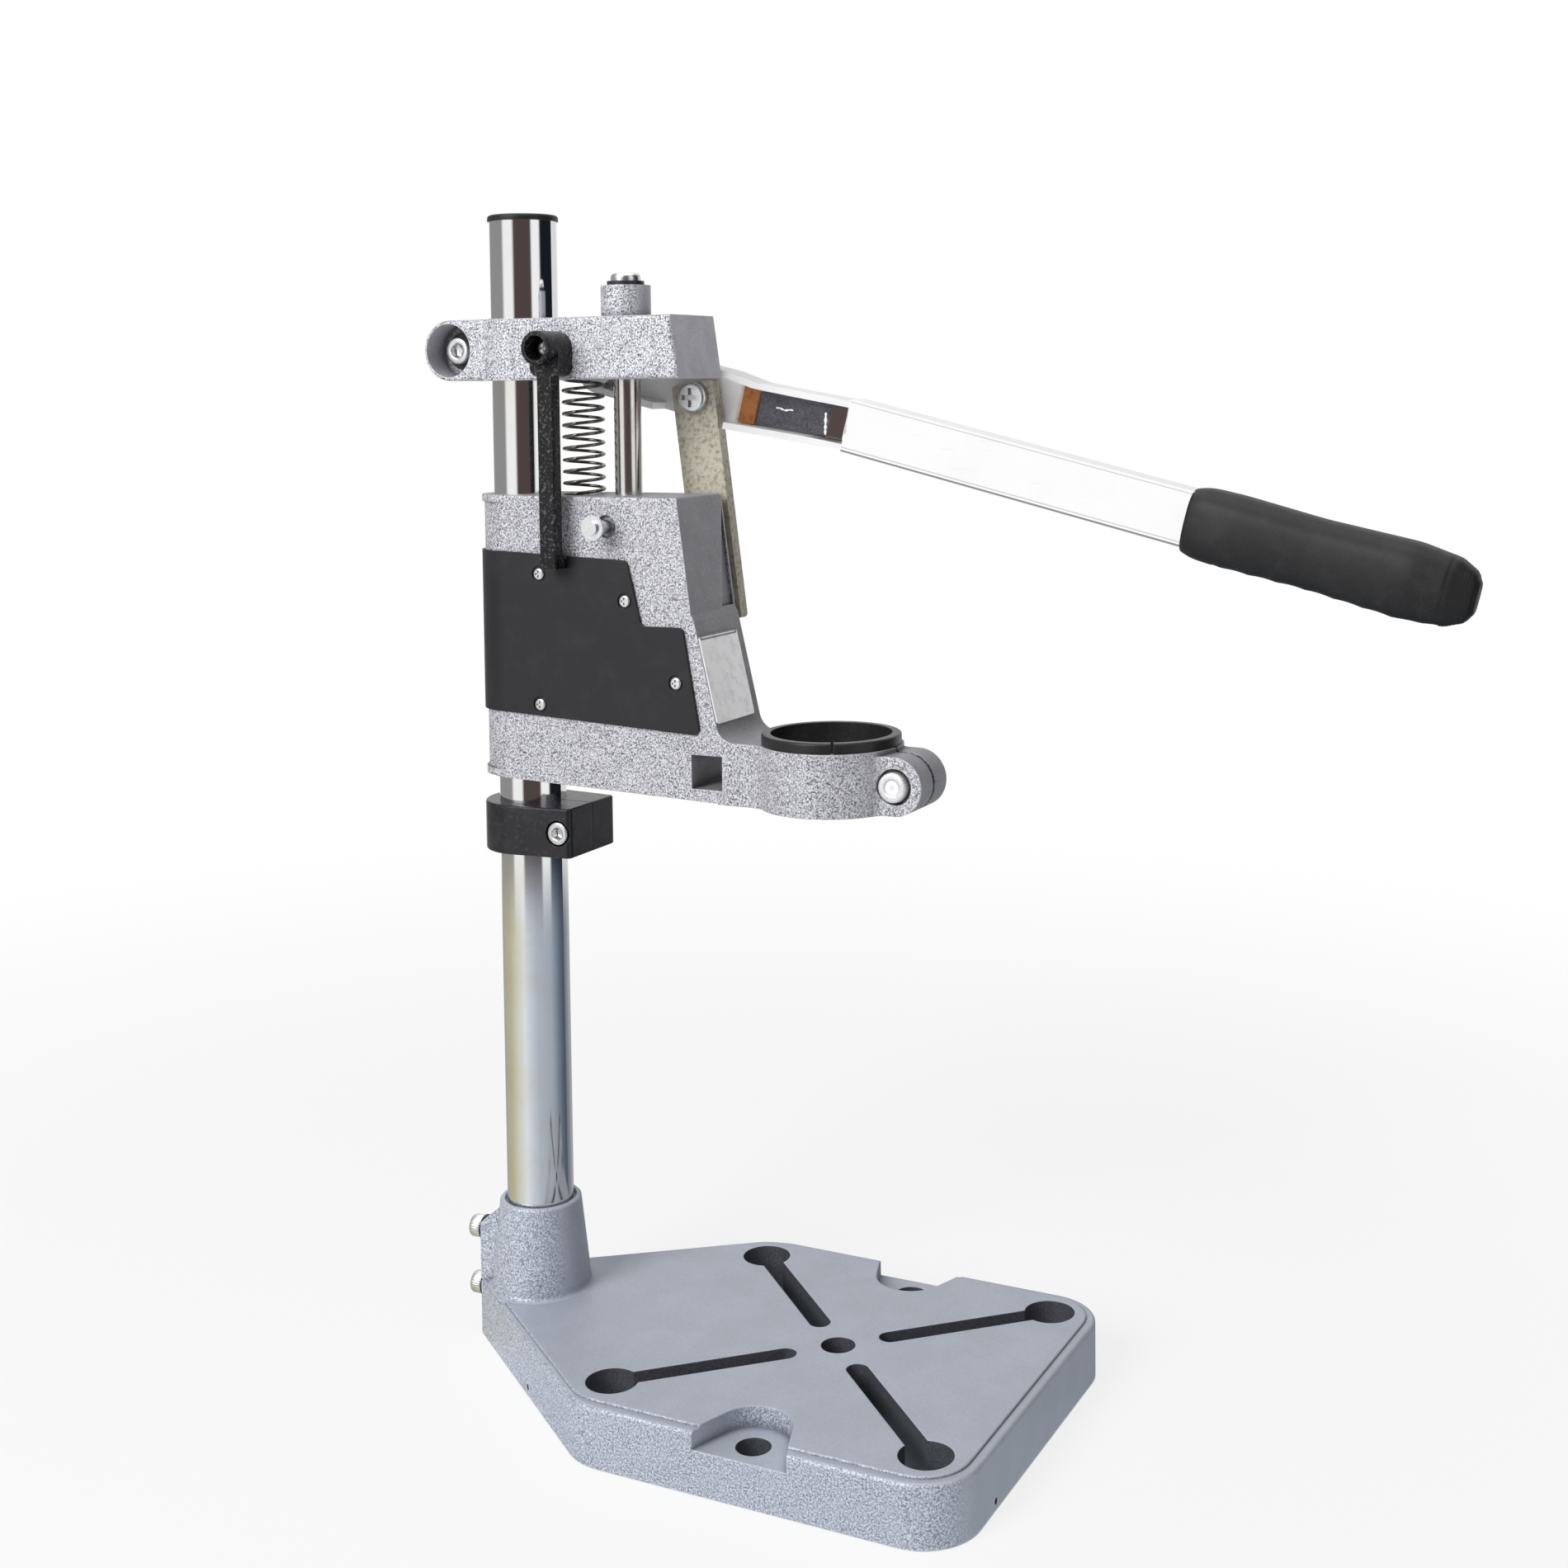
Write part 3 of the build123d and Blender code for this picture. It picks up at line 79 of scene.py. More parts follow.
WHITE = (1.0, 1.0, 1.0)


class Grain(Enum):
    """Direction in which a metal was ground or drawn."""

    NONE = (1.0, 1.0, 1.0)
    ALONG_X = (0.06, 1.0, 1.0)
    ROUND_Z = (1.0, 1.0, 12.0)


class Value:
    """A socket with arithmetic, so that shader maths reads as an expression."""

    def __init__(self, tree: "Tree", socket: Any) -> None:
        """Keep the tree and the socket that holds the number."""
        self.tree = tree
        self.socket = socket

    def _math(self, operation: str, *values: Any) -> "Value":
        """Add one Math node.

        Args:
            operation: Blender's name of the operation.
            values: its inputs, numbers or other values.

        Returns:
            The node's result.
        """
        settings = {"operation": operation}
        return self.tree.node("ShaderNodeMath", settings, dict(enumerate(values)))[0]

    def __add__(self, other: Any) -> "Value":
        """self + other."""
        return self._math("ADD", self, other)

    def __radd__(self, other: Any) -> "Value":
        """other + self."""
        return self._math("ADD", other, self)

    def __sub__(self, other: Any) -> "Value":
        """self - other."""
        return self._math("SUBTRACT", self, other)

    def __rsub__(self, other: Any) -> "Value":
        """other - self."""
        return self._math("SUBTRACT", other, self)

    def __mul__(self, other: Any) -> "Value":
        """self * other."""
        return self._math("MULTIPLY", self, other)

    def __rmul__(self, other: Any) -> "Value":
        """other * self."""
        return self._math("MULTIPLY", other, self)

    def __truediv__(self, other: Any) -> "Value":
        """self / other."""
        return self._math("DIVIDE", self, other)

    def __abs__(self) -> "Value":
        """abs(self)."""
        return self._math("ABSOLUTE", self)

    def step(self, low: float, high: float) -> "Value":
        """A smooth step.

        Args:
            low: where the result starts to rise from 0.
            high: where it reaches 1. Where it is less than low, the step falls instead.

        Returns:
            0 on low's side, 1 on high's, and a soft S between them.
        """
        settings = {"interpolation_type": "SMOOTHSTEP"}
        inputs = {"Value": self, "From Min": low, "From Max": high}
        return self.tree.node("ShaderNodeMapRange", settings, inputs)[0]


class Tree:
    """The nodes of one material, with the few kinds of node that the finishes need."""

    bevel_samples = 4
    openness_samples = 6
    openness_reach = 5.0  # as a share of the rounding
    edge_bend: Span = (0.01, 0.16)
    edge_open: Span = (0.6, 0.9)
    corner_open: Span = (0.35, 0.95)
    pit_open: Span = (0.3, 0.62)
    upright: Span = (0.5, 0.8)

    def __init__(self, name: str, holder: Any = None) -> None:
        """Empty the node tree of a holder, such as a world, or of a new material of that name."""
        self.material = holder or bpy.data.materials.new(name)
        self.material.use_nodes = True
        self.nodes = self.material.node_tree.nodes
        self.links = self.material.node_tree.links
        self.nodes.clear()

    def node(self, kind: str, settings: dict[str, Any], inputs: dict[Any, Any]) -> list[Value]:
        """Add a node, set it up and connect it.

        Args:
            kind: the node's type.
            settings: attributes, or for a colour ramp its stops under the key "stops".
            inputs: socket names or numbers, with numbers, colours or values.

        Returns:
            The node's outputs.
        """
        made = self.nodes.new(kind)
        for key, value in settings.items():
            if key == "stops":
                ramp = made.color_ramp.elements
                while len(ramp) < len(value):
                    ramp.new(1.0)
                for element, (place, colour) in zip(ramp, value):
                    element.position = place
                    element.color = (*colour, 1.0)
            else:
                setattr(made, key, value)
        for key, value in inputs.items():
            if isinstance(value, Value):
                self.links.new(value.socket, made.inputs[key])
            else:
                made.inputs[key].default_value = value
        return [Value(self, output) for output in made.outputs]

    def vector(self, operation: str, *values: Any) -> Value:
        """The result of one Vector Math node, which is a number for the MEASURES."""
        made = self.node("ShaderNodeVectorMath", {"operation": operation}, dict(enumerate(values)))
        return made[int(operation in MEASURES)]

    def place(self, stretch: Sequence[float] = (1.0, 1.0, 1.0)) -> Value:
        """Object coordinates in millimetres, stretched along the row's axes."""
        coordinates = self.node("ShaderNodeTexCoord", {}, {})[OBJECT]
        return self.vector("MULTIPLY", coordinates, Vector(stretch) / MM)

    def axis(self, place: Value, index: int) -> Value:
        """One coordinate of a place."""
        return self.node("ShaderNodeSeparateXYZ", {}, {"Vector": place})[index]

    def noise(self, place: Value, size: float, detail: float, roughness: float) -> Value:
        """Soft noise from 0 to 1.

        Args:
            place: coordinates in millimetres.
            size: the size of its largest features, in millimetres.
            detail: how many octaves are added.
            roughness: how strong the smaller octaves are.

        Returns:
            The noise.
        """
        inputs = {"Vector": place, "Scale": 1.0 / size, "Detail": detail, "Roughness": roughness}
        return self.node("ShaderNodeTexNoise", {}, inputs)[0]

    def blend(self, factor: Any, first: Any, second: Any) -> Value:
        """Mix two colours.

        Args:
            factor: 0 for the first colour, 1 for the second.
            first: a colour or a value.
            second: a colour or a value.

        Returns:
            The mixed colour.
        """
        first, second = ((*c, 1.0) if isinstance(c, tuple) else c for c in (first, second))
        inputs = {FACTOR: factor, FIRST_COLOUR: first, SECOND_COLOUR: second}
        return self.node("ShaderNodeMix", {"data_type": "RGBA"}, inputs)[MIXED_COLOUR]

    def bump(self, height: Value, depth: float, normal: Any = None) -> Value:
        """Turn a height into a normal.

        Args:
            height: the height, of which 1 is the relief's depth.
            depth: the relief's depth, in millimetres.
            normal: the normal that the relief is laid on, if not the surface's own.

        Returns:
            The normal.
        """
        inputs = {"Strength": 1.0, "Distance": depth * MM, "Height": height}
        if normal is not None:
            inputs["Normal"] = normal
        return self.node("ShaderNodeBump", {}, inputs)[0]

    def openness(self, reach: float) -> Value:
        """How open the surface is to the air within a reach in millimetres, from 0 to 1."""
        settings = {"samples": self.openness_samples, "only_local": True}
        inputs = {"Distance": reach * MM}
        return self.node("ShaderNodeAmbientOcclusion", settings, inputs)[OPENNESS]

    def rounding(self, radius: float) -> tuple[Value, Value, Value]:
        """Round the edges in the shading alone.

        Args:
            radius: how wide the rounding is, in millimetres.

        Returns:
            The rounded normal, a mask that is 1 on outer edges, and one that is 1 in inner corners.
        """
        flat = self.node("ShaderNodeNewGeometry", {}, {})[NORMAL]
        settings = {"samples": self.bevel_samples}
        soft = self.node("ShaderNodeBevel", settings, {"Radius": radius * MM})[0]
        align = self.vector("DOT_PRODUCT", flat, soft)
        openness = self.openness(self.openness_reach * radius)
        edge = (1.0 - align).step(*self.edge_bend) * openness.step(*self.edge_open)
        return soft, edge, 1.0 - openness.step(*self.corner_open)

    def pit_shade_mask(self, reach: float) -> Value:
        """A mask that is 1 deep in holes and slots, whose walls count within a reach."""
        # The paint darkens where this mask is high: painted shade in holes and slots.
        return 1.0 - self.openness(reach).step(*self.pit_open)

    def well_shade_mask(self, openings: "Openings") -> Value:
        """A mask that is 1 on the upright walls of openings and of the slots that join them.

        Each place is folded about the openings' middle into one quarter of the plan. A slot is
        what lies there near the line from the middle to the last hole, and no farther out.

        Args:
            openings: the holes and slots.

        Returns:
            The mask.
        """
        plan = self.vector("MULTIPLY", self.place(), (1.0, 1.0, 0.0))
        fold = self.vector("ABSOLUTE", self.vector("SUBTRACT", plan, (*openings.middle, 0.0)))
        end_x, end_y, _ = openings.holes[-1]
        length = np.hypot(end_x, end_y)
        side = abs(self.vector("DOT_PRODUCT", fold, (end_y / length, -end_x / length, 0.0)))
        away, soft = self.vector("LENGTH", fold), openings.soft
        reach = openings.slot_half + soft
        mask = side.step(reach + soft, reach) * away.step(length + 1.0, length)
        for x, y, radius in openings.holes:
            gap = self.vector("DISTANCE", fold, (x, y, 0.0))
            mask = mask + gap.step(radius + 2 * soft, radius + soft)
        # The paint darkens on these walls: painted shade in the openings.
        return mask.step(0.0, 1.0) * (1.0 - self.facing(2)).step(*self.upright)

    def along(self, start: Point, way: Point) -> Value:
        """How far a place lies from a start along a direction, in millimetres."""
        return self.vector("DOT_PRODUCT", self.place(), way) - Vector(start).dot(Vector(way))

    def facing(self, index: int) -> Value:
        """How squarely the surface faces along one of the row's axes, from 0 to 1."""
        return abs(self.axis(self.node("ShaderNodeNewGeometry", {}, {})[NORMAL], index))

    def ramp(self, factor: Value, stops: Bands) -> Value:
        """A colour that runs through stops as a number goes from 0 to 1."""
        return self.node("ShaderNodeValToRGB", {"stops": stops}, {"Fac": factor})[0]

    def watched(self) -> tuple[Value, Value]:
        """1 for rays that see a thing, straight or in a mirror or glass, and 1 for soft light's."""
        rays = self.node("ShaderNodeLightPath", {}, {})
        return rays[CAMERA_RAY] + rays[GLOSSY_RAY] + rays[TRANSMISSION_RAY], rays[DIFFUSE_RAY]

    def surface(self, **sockets: Any) -> None:
        """Finish the material with a Principled surface.

        Args:
            sockets: its sockets by name, with underscores for spaces.
        """
        inputs = {key.replace("_", " "): value for key, value in sockets.items()}
        self.show(self.node("ShaderNodeBsdfPrincipled", {}, inputs)[0])

    def show(self, shader: Value, kind: str = "Material") -> None:
        """Send a shader to the tree's output, which is of that kind."""
        self.node(f"ShaderNodeOutput{kind}", {}, {"Surface": shader})


def tinted(colour: Colour, tone: float) -> Colour:
    """A colour made lighter or darker by a tone, and no lighter than white."""
    return tuple(min(1.0, channel * tone) for channel in colour)


@dataclass(frozen=True)
class Openings:
    """Holes mirrored about a middle, and slots from the middle to the last hole, in millimetres."""

    middle: tuple[float, float]
    holes: tuple[tuple[float, float, float], ...]
    slot_half: float
    # How strongly the openings' walls take painted shade.
    share: float = 0.9
    soft: float = 0.3


@dataclass(frozen=True)
class HammerPaint:
    """Silver-grey paint, speckled on the castings' sides and smooth on their tops and ends."""

    name: str
    pale: Colour
    deep: Colour
    speck: Colour
    speck_share: float = 0.8
    speck_size: float = 0.62
    patch_size: float = 11.0
    relief: float = 0.07
    gloss: float = 0.40
    end_share: float = 0.14
    # Tops and ends take a copy of the paint scaled by this tone: painted light above 1, painted
    # shade below 1.
    end_shading_tone: float = 1.0
    openings: Openings | None = None
    metallic: float = 0.2
    gloss_spread: float = 0.16
    rounding: float = 0.8
    clump_size: float = 2.4
    dimple_size: float = 1.7
    pit_reach: float = 9.0
    side_span: Span = (0.25, 0.8)
    top_span: Span = (0.2, 0.9)
    patch_span: Span = (0.35, 0.68)
    dark_span: Span = (0.50, 0.39)
    # The light flecks are painted glints of the hammertone on the sides.
    glint_span: Span = (0.51, 0.59)
    glint_tone: float = 1.5
    # Outer edges take a painted highlight, as where they catch the light.
    edge_highlight_share: float = 0.65
    edge_highlight_tone: float = 1.55
    # Inner corners take painted shade.
    corner_shade_share: float = 0.55
    corner_shade_tone: float = 0.4
    # Holes, slots and the walls of the openings take painted shade.
    pit_shade_share: float = 0.8
    pit_shade_tone: float = 0.3

    def make(self) -> bpy.types.Material:
        """Build the material.

        Soft patches lie under dark flecks and light ones, whose strength follows how squarely the
        surface faces the castings' sides; the light flecks are painted glints. Tops and ends take
        the end shading tone as painted light and shade. Outer edges get a painted highlight, and
        inner corners, holes and slots get painted shade.

        Returns:
            The material.
        """
        tree = Tree(self.name)
        place = tree.place()
        soft, edge, corner = tree.rounding(self.rounding)
        sides = tree.facing(1).step(*self.side_span) * (1.0 - self.end_share) + self.end_share
        patches = tree.noise(place, self.patch_size, 3.0, 0.6).step(*self.patch_span)
        fleck = tree.noise(place, self.speck_size, 2.0, 0.75)
        clumps = 0.7 + 1.8 * (0.6 - tree.noise(place, self.clump_size, 2.0, 0.6))
        dark = fleck.step(*self.dark_span) * clumps * sides * self.speck_share
        light = fleck.step(*self.glint_span) * sides
        # Tops and ends take a copy of the paint scaled by the end shading tone, as painted light
        # and shade.
        ends = tree.blend(patches, *(tinted(c, self.end_shading_tone) for c in (self.deep, self.pale)))
        flanks = tree.blend(patches, self.deep, self.pale)
        # Darker copies of the speck colour, for painted shade in inner corners and in holes and
        # slots.
        corner_shade, pit_shade = (tinted(self.speck, tone) for tone in (self.corner_shade_tone, self.pit_shade_tone))
        colour = tree.blend(sides.step(*self.top_span), ends, flanks)
        # Painted glints: light flecks brighter than the paint, strongest on the sides.
        colour = tree.blend(light, colour, tinted(self.pale, self.glint_tone))
        colour = tree.blend(dark, colour, self.speck)
        # Painted highlight along the outer edges.
        colour = tree.blend(edge * self.edge_highlight_share, colour, tinted(self.pale, self.edge_highlight_tone))
        # Painted shade in inner corners.
        colour = tree.blend(corner * self.corner_shade_share, colour, corner_shade)
        # Painted shade deep in holes and slots.
        colour = tree.blend(tree.pit_shade_mask(self.pit_reach) * self.pit_shade_share, colour, pit_shade)
        if self.openings:
            # Painted shade on the upright walls of the openings and the slots.
            colour = tree.blend(tree.well_shade_mask(self.openings) * self.openings.share, colour, pit_shade)
        dimples = tree.noise(place, self.dimple_size, 2.0, 0.55) + fleck * 0.35
        tree.surface(Base_Color=colour, Roughness=self.gloss + self.gloss_spread * fleck,
                     Metallic=self.metallic,
                     Normal=tree.bump(dimples * (0.25 + 0.75 * sides), self.relief, soft))
        return tree.material


@dataclass(frozen=True)
class Metal:
    """Bare or plated metal: tint, grain, stains and fine scratches."""

    name: str
    tint: Colour
    stain: Colour
    stain_share: float = 0.3
    stain_size: float = 14.0
    rough: float = 0.25
    rough_spread: float = 0.15
    grain: Grain = Grain.NONE
    grain_size: float = 0.6
    relief: float = 0.01
    metallic: float = 1.0
    stain_span: Span = (0.42, 0.72)
    stain_rough: float = 0.12
    scratch_span: Span = (0.4, 0.2)
    scratch_share: float = 0.25
    scratch_tone: float = 0.55

    def make(self, marks: Callable[[Tree, Value], Value] | None = None) -> bpy.types.Material:
        """Build the material: a stain that drifts over the tint, and grain in gloss and relief.

        Args:
            marks: draws further marks over the colour.

        Returns:
            The material.
        """
        tree = Tree(self.name)
        drift = tree.noise(tree.place(), self.stain_size, 4.0, 0.62)
        stain = drift.step(*self.stain_span) * self.stain_share
        grain = tree.noise(tree.place(self.grain.value), self.grain_size, 3.0, 0.6)
        scratches = grain.step(*self.scratch_span) * self.scratch_share
        colour = tree.blend(stain, self.tint, self.stain)
        colour = tree.blend(scratches, colour, tinted(self.tint, self.scratch_tone))
        if marks:
            colour = marks(tree, colour)
        rough = self.rough + self.rough_spread * (grain - 0.5) + self.stain_rough * stain
        tree.surface(Base_Color=colour, Roughness=rough, Metallic=self.metallic,
                     Normal=tree.bump(grain, self.relief))
        return tree.material


@dataclass(frozen=True)
class Dark:
    """Black plastic, enamel or rough casting: faint mottling, dust and its own relief."""

    name: str
    colour: Colour
    dust: Colour
    dust_share: float = 0.12
    rough: float = 0.4
    rough_spread: float = 0.2
    texture_size: float = 0.5
    relief: float = 0.02
    shine: float = 0.3
    fleck_share: float = 0.2
    fleck_from: float = 0.55
    fleck_span: float = 0.12
    rounding: float = 0.5
    dust_size: float = 11.0
    dust_span: Span = (0.45, 0.8)
    dust_rough: float = 0.1
    wear_size: float = 3.0
    # Outer edges take a painted highlight in the dust colour.
    edge_share: float = 0.5

    def make(self) -> bpy.types.Material:
        """Build the material: soft dust patches and a fine texture that breaks up the gloss.

        Returns:
            The material.
        """
        tree = Tree(self.name)
        place = tree.place()
        soft, edge, _ = tree.rounding(self.rounding)
        dust = tree.noise(place, self.dust_size, 4.0, 0.65).step(*self.dust_span) * self.dust_share
        texture = tree.noise(place, self.texture_size, 3.0, 0.6)
        wear = tree.noise(place, self.wear_size, 3.0, 0.6)
        flecks = texture.step(self.fleck_from, self.fleck_from + self.fleck_span) * self.fleck_share
        colour = tree.blend(dust, self.colour, self.dust)
        colour = tree.blend(flecks, colour, self.dust)
        # Painted highlight: outer edges lighten towards the dust colour, as where they catch the
        # light.
        colour = tree.blend(edge * self.edge_share, colour, self.dust)
        rough = self.rough + self.rough_spread * (wear - 0.5) + self.dust_rough * dust
        tree.surface(Base_Color=colour, Roughness=rough, Specular_IOR_Level=self.shine,
                     Normal=tree.bump(texture, self.relief, soft))
        return tree.material


class Shape:
    """Meshes worked out as whole arrays of points."""

    @staticmethod
    def grid(name: str, points: np.ndarray, wrap_u: bool = True, wrap_v: bool = False,
             smooth: bool = True) -> bpy.types.Object:
        """Make a mesh from a grid of points.

        The faces join each point to its neighbours along both directions of the grid. Where the
        columns wrap and the rows don't, a fan round the mean of its ring closes each end.

        Args:
            name: the piece's name.
            points: an array of rows (v) by columns (u) by 3, whose columns run round the outside
                anticlockwise as seen against the rows' direction.
            wrap_u: whether the last column joins the first.
            wrap_v: whether the last row joins the first.
            smooth: whether the faces are shaded smooth.

        Returns:
            The new object, in the scene.
        """
        rows, columns = points.shape[:2]
        index = np.arange(rows * columns).reshape(rows, columns)
        lower = index if wrap_v else index[:-1]
        upper = np.roll(index, -1, 0) if wrap_v else index[1:]
        if wrap_u:
            quads = np.stack([lower, np.roll(lower, -1, 1), np.roll(upper, -1, 1), upper], -1)
        else:
            quads = np.stack([lower[:, :-1], lower[:, 1:], upper[:, 1:], upper[:, :-1]], -1)
        faces = quads.reshape(-1, 4).tolist()
        vertices = points.reshape(-1, 3)
        if wrap_u and not wrap_v:
            vertices = np.vstack([vertices, points[0].mean(0), points[-1].mean(0)])
            middles = np.repeat([[rows * columns], [rows * columns + 1]], columns, 1)
            faces += np.stack([middles[0], np.roll(index[0], -1), index[0]], -1).tolist()
            faces += np.stack([middles[1], index[-1], np.roll(index[-1], -1)], -1).tolist()
        mesh = bpy.data.meshes.new(name)
        mesh.from_pydata(vertices.tolist(), [], faces)
        if smooth:
            mesh.shade_smooth()
        else:
            mesh.shade_flat()
        piece = bpy.data.objects.new(name, mesh)
        bpy.context.scene.collection.objects.link(piece)
        return piece

    @staticmethod
    def turned(profile: np.ndarray, steps: int) -> np.ndarray:
        """Turn a profile round the Z axis.

        A profile point (r, z) becomes (r cos a, r sin a, z) at each of the steps' angles a.

        Args:
            profile: an array of (radius, height) rows, upwards along the outside.
            steps: how many columns the surface gets.

        Returns:
            A grid of points.
        """
        angle = np.linspace(0.0, tau, steps, endpoint=False)
        radius, height = profile[:, :1], profile[:, 1:]
        return np.stack([radius * np.cos(angle), radius * np.sin(angle), height + 0 * angle], -1)

    @staticmethod
    def seated(points: np.ndarray, origin: Vector, along: Vector, turn: float) -> np.ndarray:
        """Carry points from the origin, with Z up, to a seat whose normal points along.

        Args:
            points: any array whose last axis is x, y, z.
            origin: the seat.
            along: the direction that Z takes.
            turn: a turn about that direction, in radians.

        Returns:
            The carried points.
        """
        spin = along.to_track_quat("Z", "Y").to_matrix() @ Matrix.Rotation(turn, 3, "Z")
        return points @ np.array(spin).T + np.array(origin)


def node(name: str) -> bpy.types.Object:
    """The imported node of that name."""
    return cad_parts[name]


def corners(name: str) -> tuple[np.ndarray, np.ndarray]:
    """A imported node's lowest and highest corners."""
    low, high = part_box(name)
    return np.array(low), np.array(high)


def dress(piece: bpy.types.Object, material: bpy.types.Material) -> None:
    """Give a piece one material in every slot.

    Args:
        piece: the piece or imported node.
        material: its finish.
    """
    slots = max(1, len(piece.data.materials))
    piece.data.materials.clear()
    for _ in range(slots):
        piece.data.materials.append(material)


def dress_all(material: bpy.types.Material, *names: str) -> None:
    """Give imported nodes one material."""
    for name in names:
        dress(node(name), material)


def stand_for(piece: bpy.types.Object, body: str, slot: str, *nodes: str) -> None:
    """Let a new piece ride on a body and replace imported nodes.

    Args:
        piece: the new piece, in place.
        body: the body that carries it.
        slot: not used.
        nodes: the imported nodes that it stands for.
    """
    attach(piece, body)
    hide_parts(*nodes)
    LOG.info("%s rides on %s and stands for %s", piece.name, body, ", ".join(nodes))


@dataclass(frozen=True)
class Lamp:
    """A soft lamp: where it hangs, what it faces, its width and height, and its power in watts."""

    name: str
    place: Point
    aim: Point
    size: tuple[float, float]
    watts: float

    def hang(self) -> None:
        """Put the lamp in the scene."""
        light = bpy.data.lights.new(self.name, "AREA")
        light.shape = "RECTANGLE"
        light.size, light.size_y = self.size
        light.energy = self.watts
        lamp = bpy.data.objects.new(self.name, light)
        ahead = Vector(self.aim) - Vector(self.place)
        lamp.location = self.place
        lamp.rotation_euler = ahead.to_track_quat("-Z", "Y").to_euler()
        bpy.context.scene.collection.objects.link(lamp)


@dataclass
class Studio:
    """Camera, floor, world, lamps and what the mirrored metal shows."""

    place: Point = (0.4479, -0.6389, 0.3631)
    azimuth: float = 25.88
    pitch: float = 3.04
    roll: float = -0.59
    focal_px: float = 2487.5
    frame_px: float = 1900.0
    axis_px: tuple[float, float] = (1039.8, 601.6)
    sensor: float = 36.0
    near_clip: float = 0.01
    floor_size: float = 14.0
    floor_z: float = -0.0004
    floor_colour: Colour = (0.86, 0.86, 0.86)
    floor_share: float = 0.8
    floor_fade: Span = (230.0, 950.0)
    bounce_share: float = 0.9
    air_colour: Colour = (0.97, 0.98, 1.0)
    air_level: float = 0.12
    lamps: tuple[Lamp, ...] = (
        Lamp("key", (-0.55, -2.15, 1.5), (0.08, 0.0, 0.2), (1.3, 1.3), 55.0),
        Lamp("top", (0.1, -0.1, 2.0), (0.1, 0.0, 0.0), (1.6, 1.6), 12.0))
    surround_r: float = 2.2
    surround_z: Span = (0.01, 2.6)
    surround_steps: int = 145
    surround_fade: Span = (600.0, 900.0)
    carpet_r: float = 0.02
    carpet_z: float = 0.0006
    white: Colour = WHITE
    pale: Colour = (0.80, 0.80, 0.80)
    grey: Colour = (0.30, 0.30, 0.30)
    brown: Colour = (0.085, 0.063, 0.06)
    navy: Colour = (0.010, 0.012, 0.017)
    carpet: Bands = (
        (-180.0, (0.4, 0.41, 0.4)), (-119.0, (0.4, 0.41, 0.38)), (-67.0, (0.545, 0.515, 0.34)),
        (-35.0, (0.71, 0.71, 0.62)), (-9.0, (0.82, 0.84, 0.86)), (15.0, (0.62, 0.67, 0.74)),
        (37.0, (0.49, 0.53, 0.60)), (61.0, (0.44, 0.48, 0.54)), (85.0, (0.376, 0.43, 0.5)),
        (112.0, (0.18, 0.22, 0.28)), (140.0, (0.06, 0.07, 0.10)), (165.0, (0.3, 0.32, 0.36)),
        (180.0, (0.4, 0.41, 0.4)))

    def camera(self) -> None:
        """Stand the camera where the photograph was taken, with the photograph's framing."""
        azimuth, pitch, roll = radians(self.azimuth), radians(self.pitch), radians(self.roll)
        ahead = Vector((-sin(azimuth) * cos(pitch), cos(azimuth) * cos(pitch), -sin(pitch)))
        right = Vector((cos(azimuth), sin(azimuth), 0.0))
        above = right.cross(ahead)
        turned_right = cos(roll) * right + sin(roll) * above
        turned_above = cos(roll) * above - sin(roll) * right
        lens = bpy.data.cameras.new("camera")
        lens.sensor_width = self.sensor
        lens.lens = self.focal_px * self.sensor / self.frame_px
        lens.shift_x = (self.frame_px / 2 - self.axis_px[0]) / self.frame_px
        lens.shift_y = (self.axis_px[1] - self.frame_px / 2) / self.frame_px
        lens.clip_start = self.near_clip
        eye = bpy.data.objects.new("camera", lens)
        turn = Matrix((turned_right, turned_above, -ahead)).transposed().to_4x4()
        eye.matrix_world = Matrix.Translation(self.place) @ turn
        bpy.context.scene.collection.objects.link(eye)
        bpy.context.scene.camera = eye

    def world(self) -> None:
        """Light the air: white where it is seen or mirrored, softer where it lights the object."""
        air = bpy.data.worlds.new("air")
        tree = Tree("air", air)
        seen, _ = tree.watched()
        lit, white = (
            tree.node("ShaderNodeBackground", {}, {"Color": (*colour, 1.0), "Strength": level})[0]
            for colour, level in ((self.air_colour, self.air_level), (WHITE, 1.0)))
        tree.show(tree.node("ShaderNodeMixShader", {}, {0: seen, 1: lit, 2: white})[0], "World")
        bpy.context.scene.world = air

    def floor(self) -> None:
        """Lay a pale floor that shows white and keeps a soft shadow."""
        half = self.floor_size / 2
        axis = np.array([-half, half])
        grid = np.stack([*np.meshgrid(axis, axis), np.full((2, 2), self.floor_z)], -1)
        floor = Shape.grid("floor", grid, wrap_u=False, smooth=False)
        tree = Tree("floor_white")
        seen, bounced = tree.watched()
        away = tree.vector("LENGTH", tree.place()).step(*self.floor_fade)
        share = seen * (self.floor_share + (1.0 - self.floor_share) * away)
        share = share + bounced * self.bounce_share
        matt = tree.node("ShaderNodeBsdfDiffuse", {}, {"Color": (*self.floor_colour, 1.0)})[0]
        white = tree.node("ShaderNodeEmission", {}, {"Color": (*WHITE, 1.0), "Strength": 1.0})[0]
        tree.show(tree.node("ShaderNodeMixShader", {}, {0: share, 1: matt, 2: white})[0])
        dress(floor, tree.material)

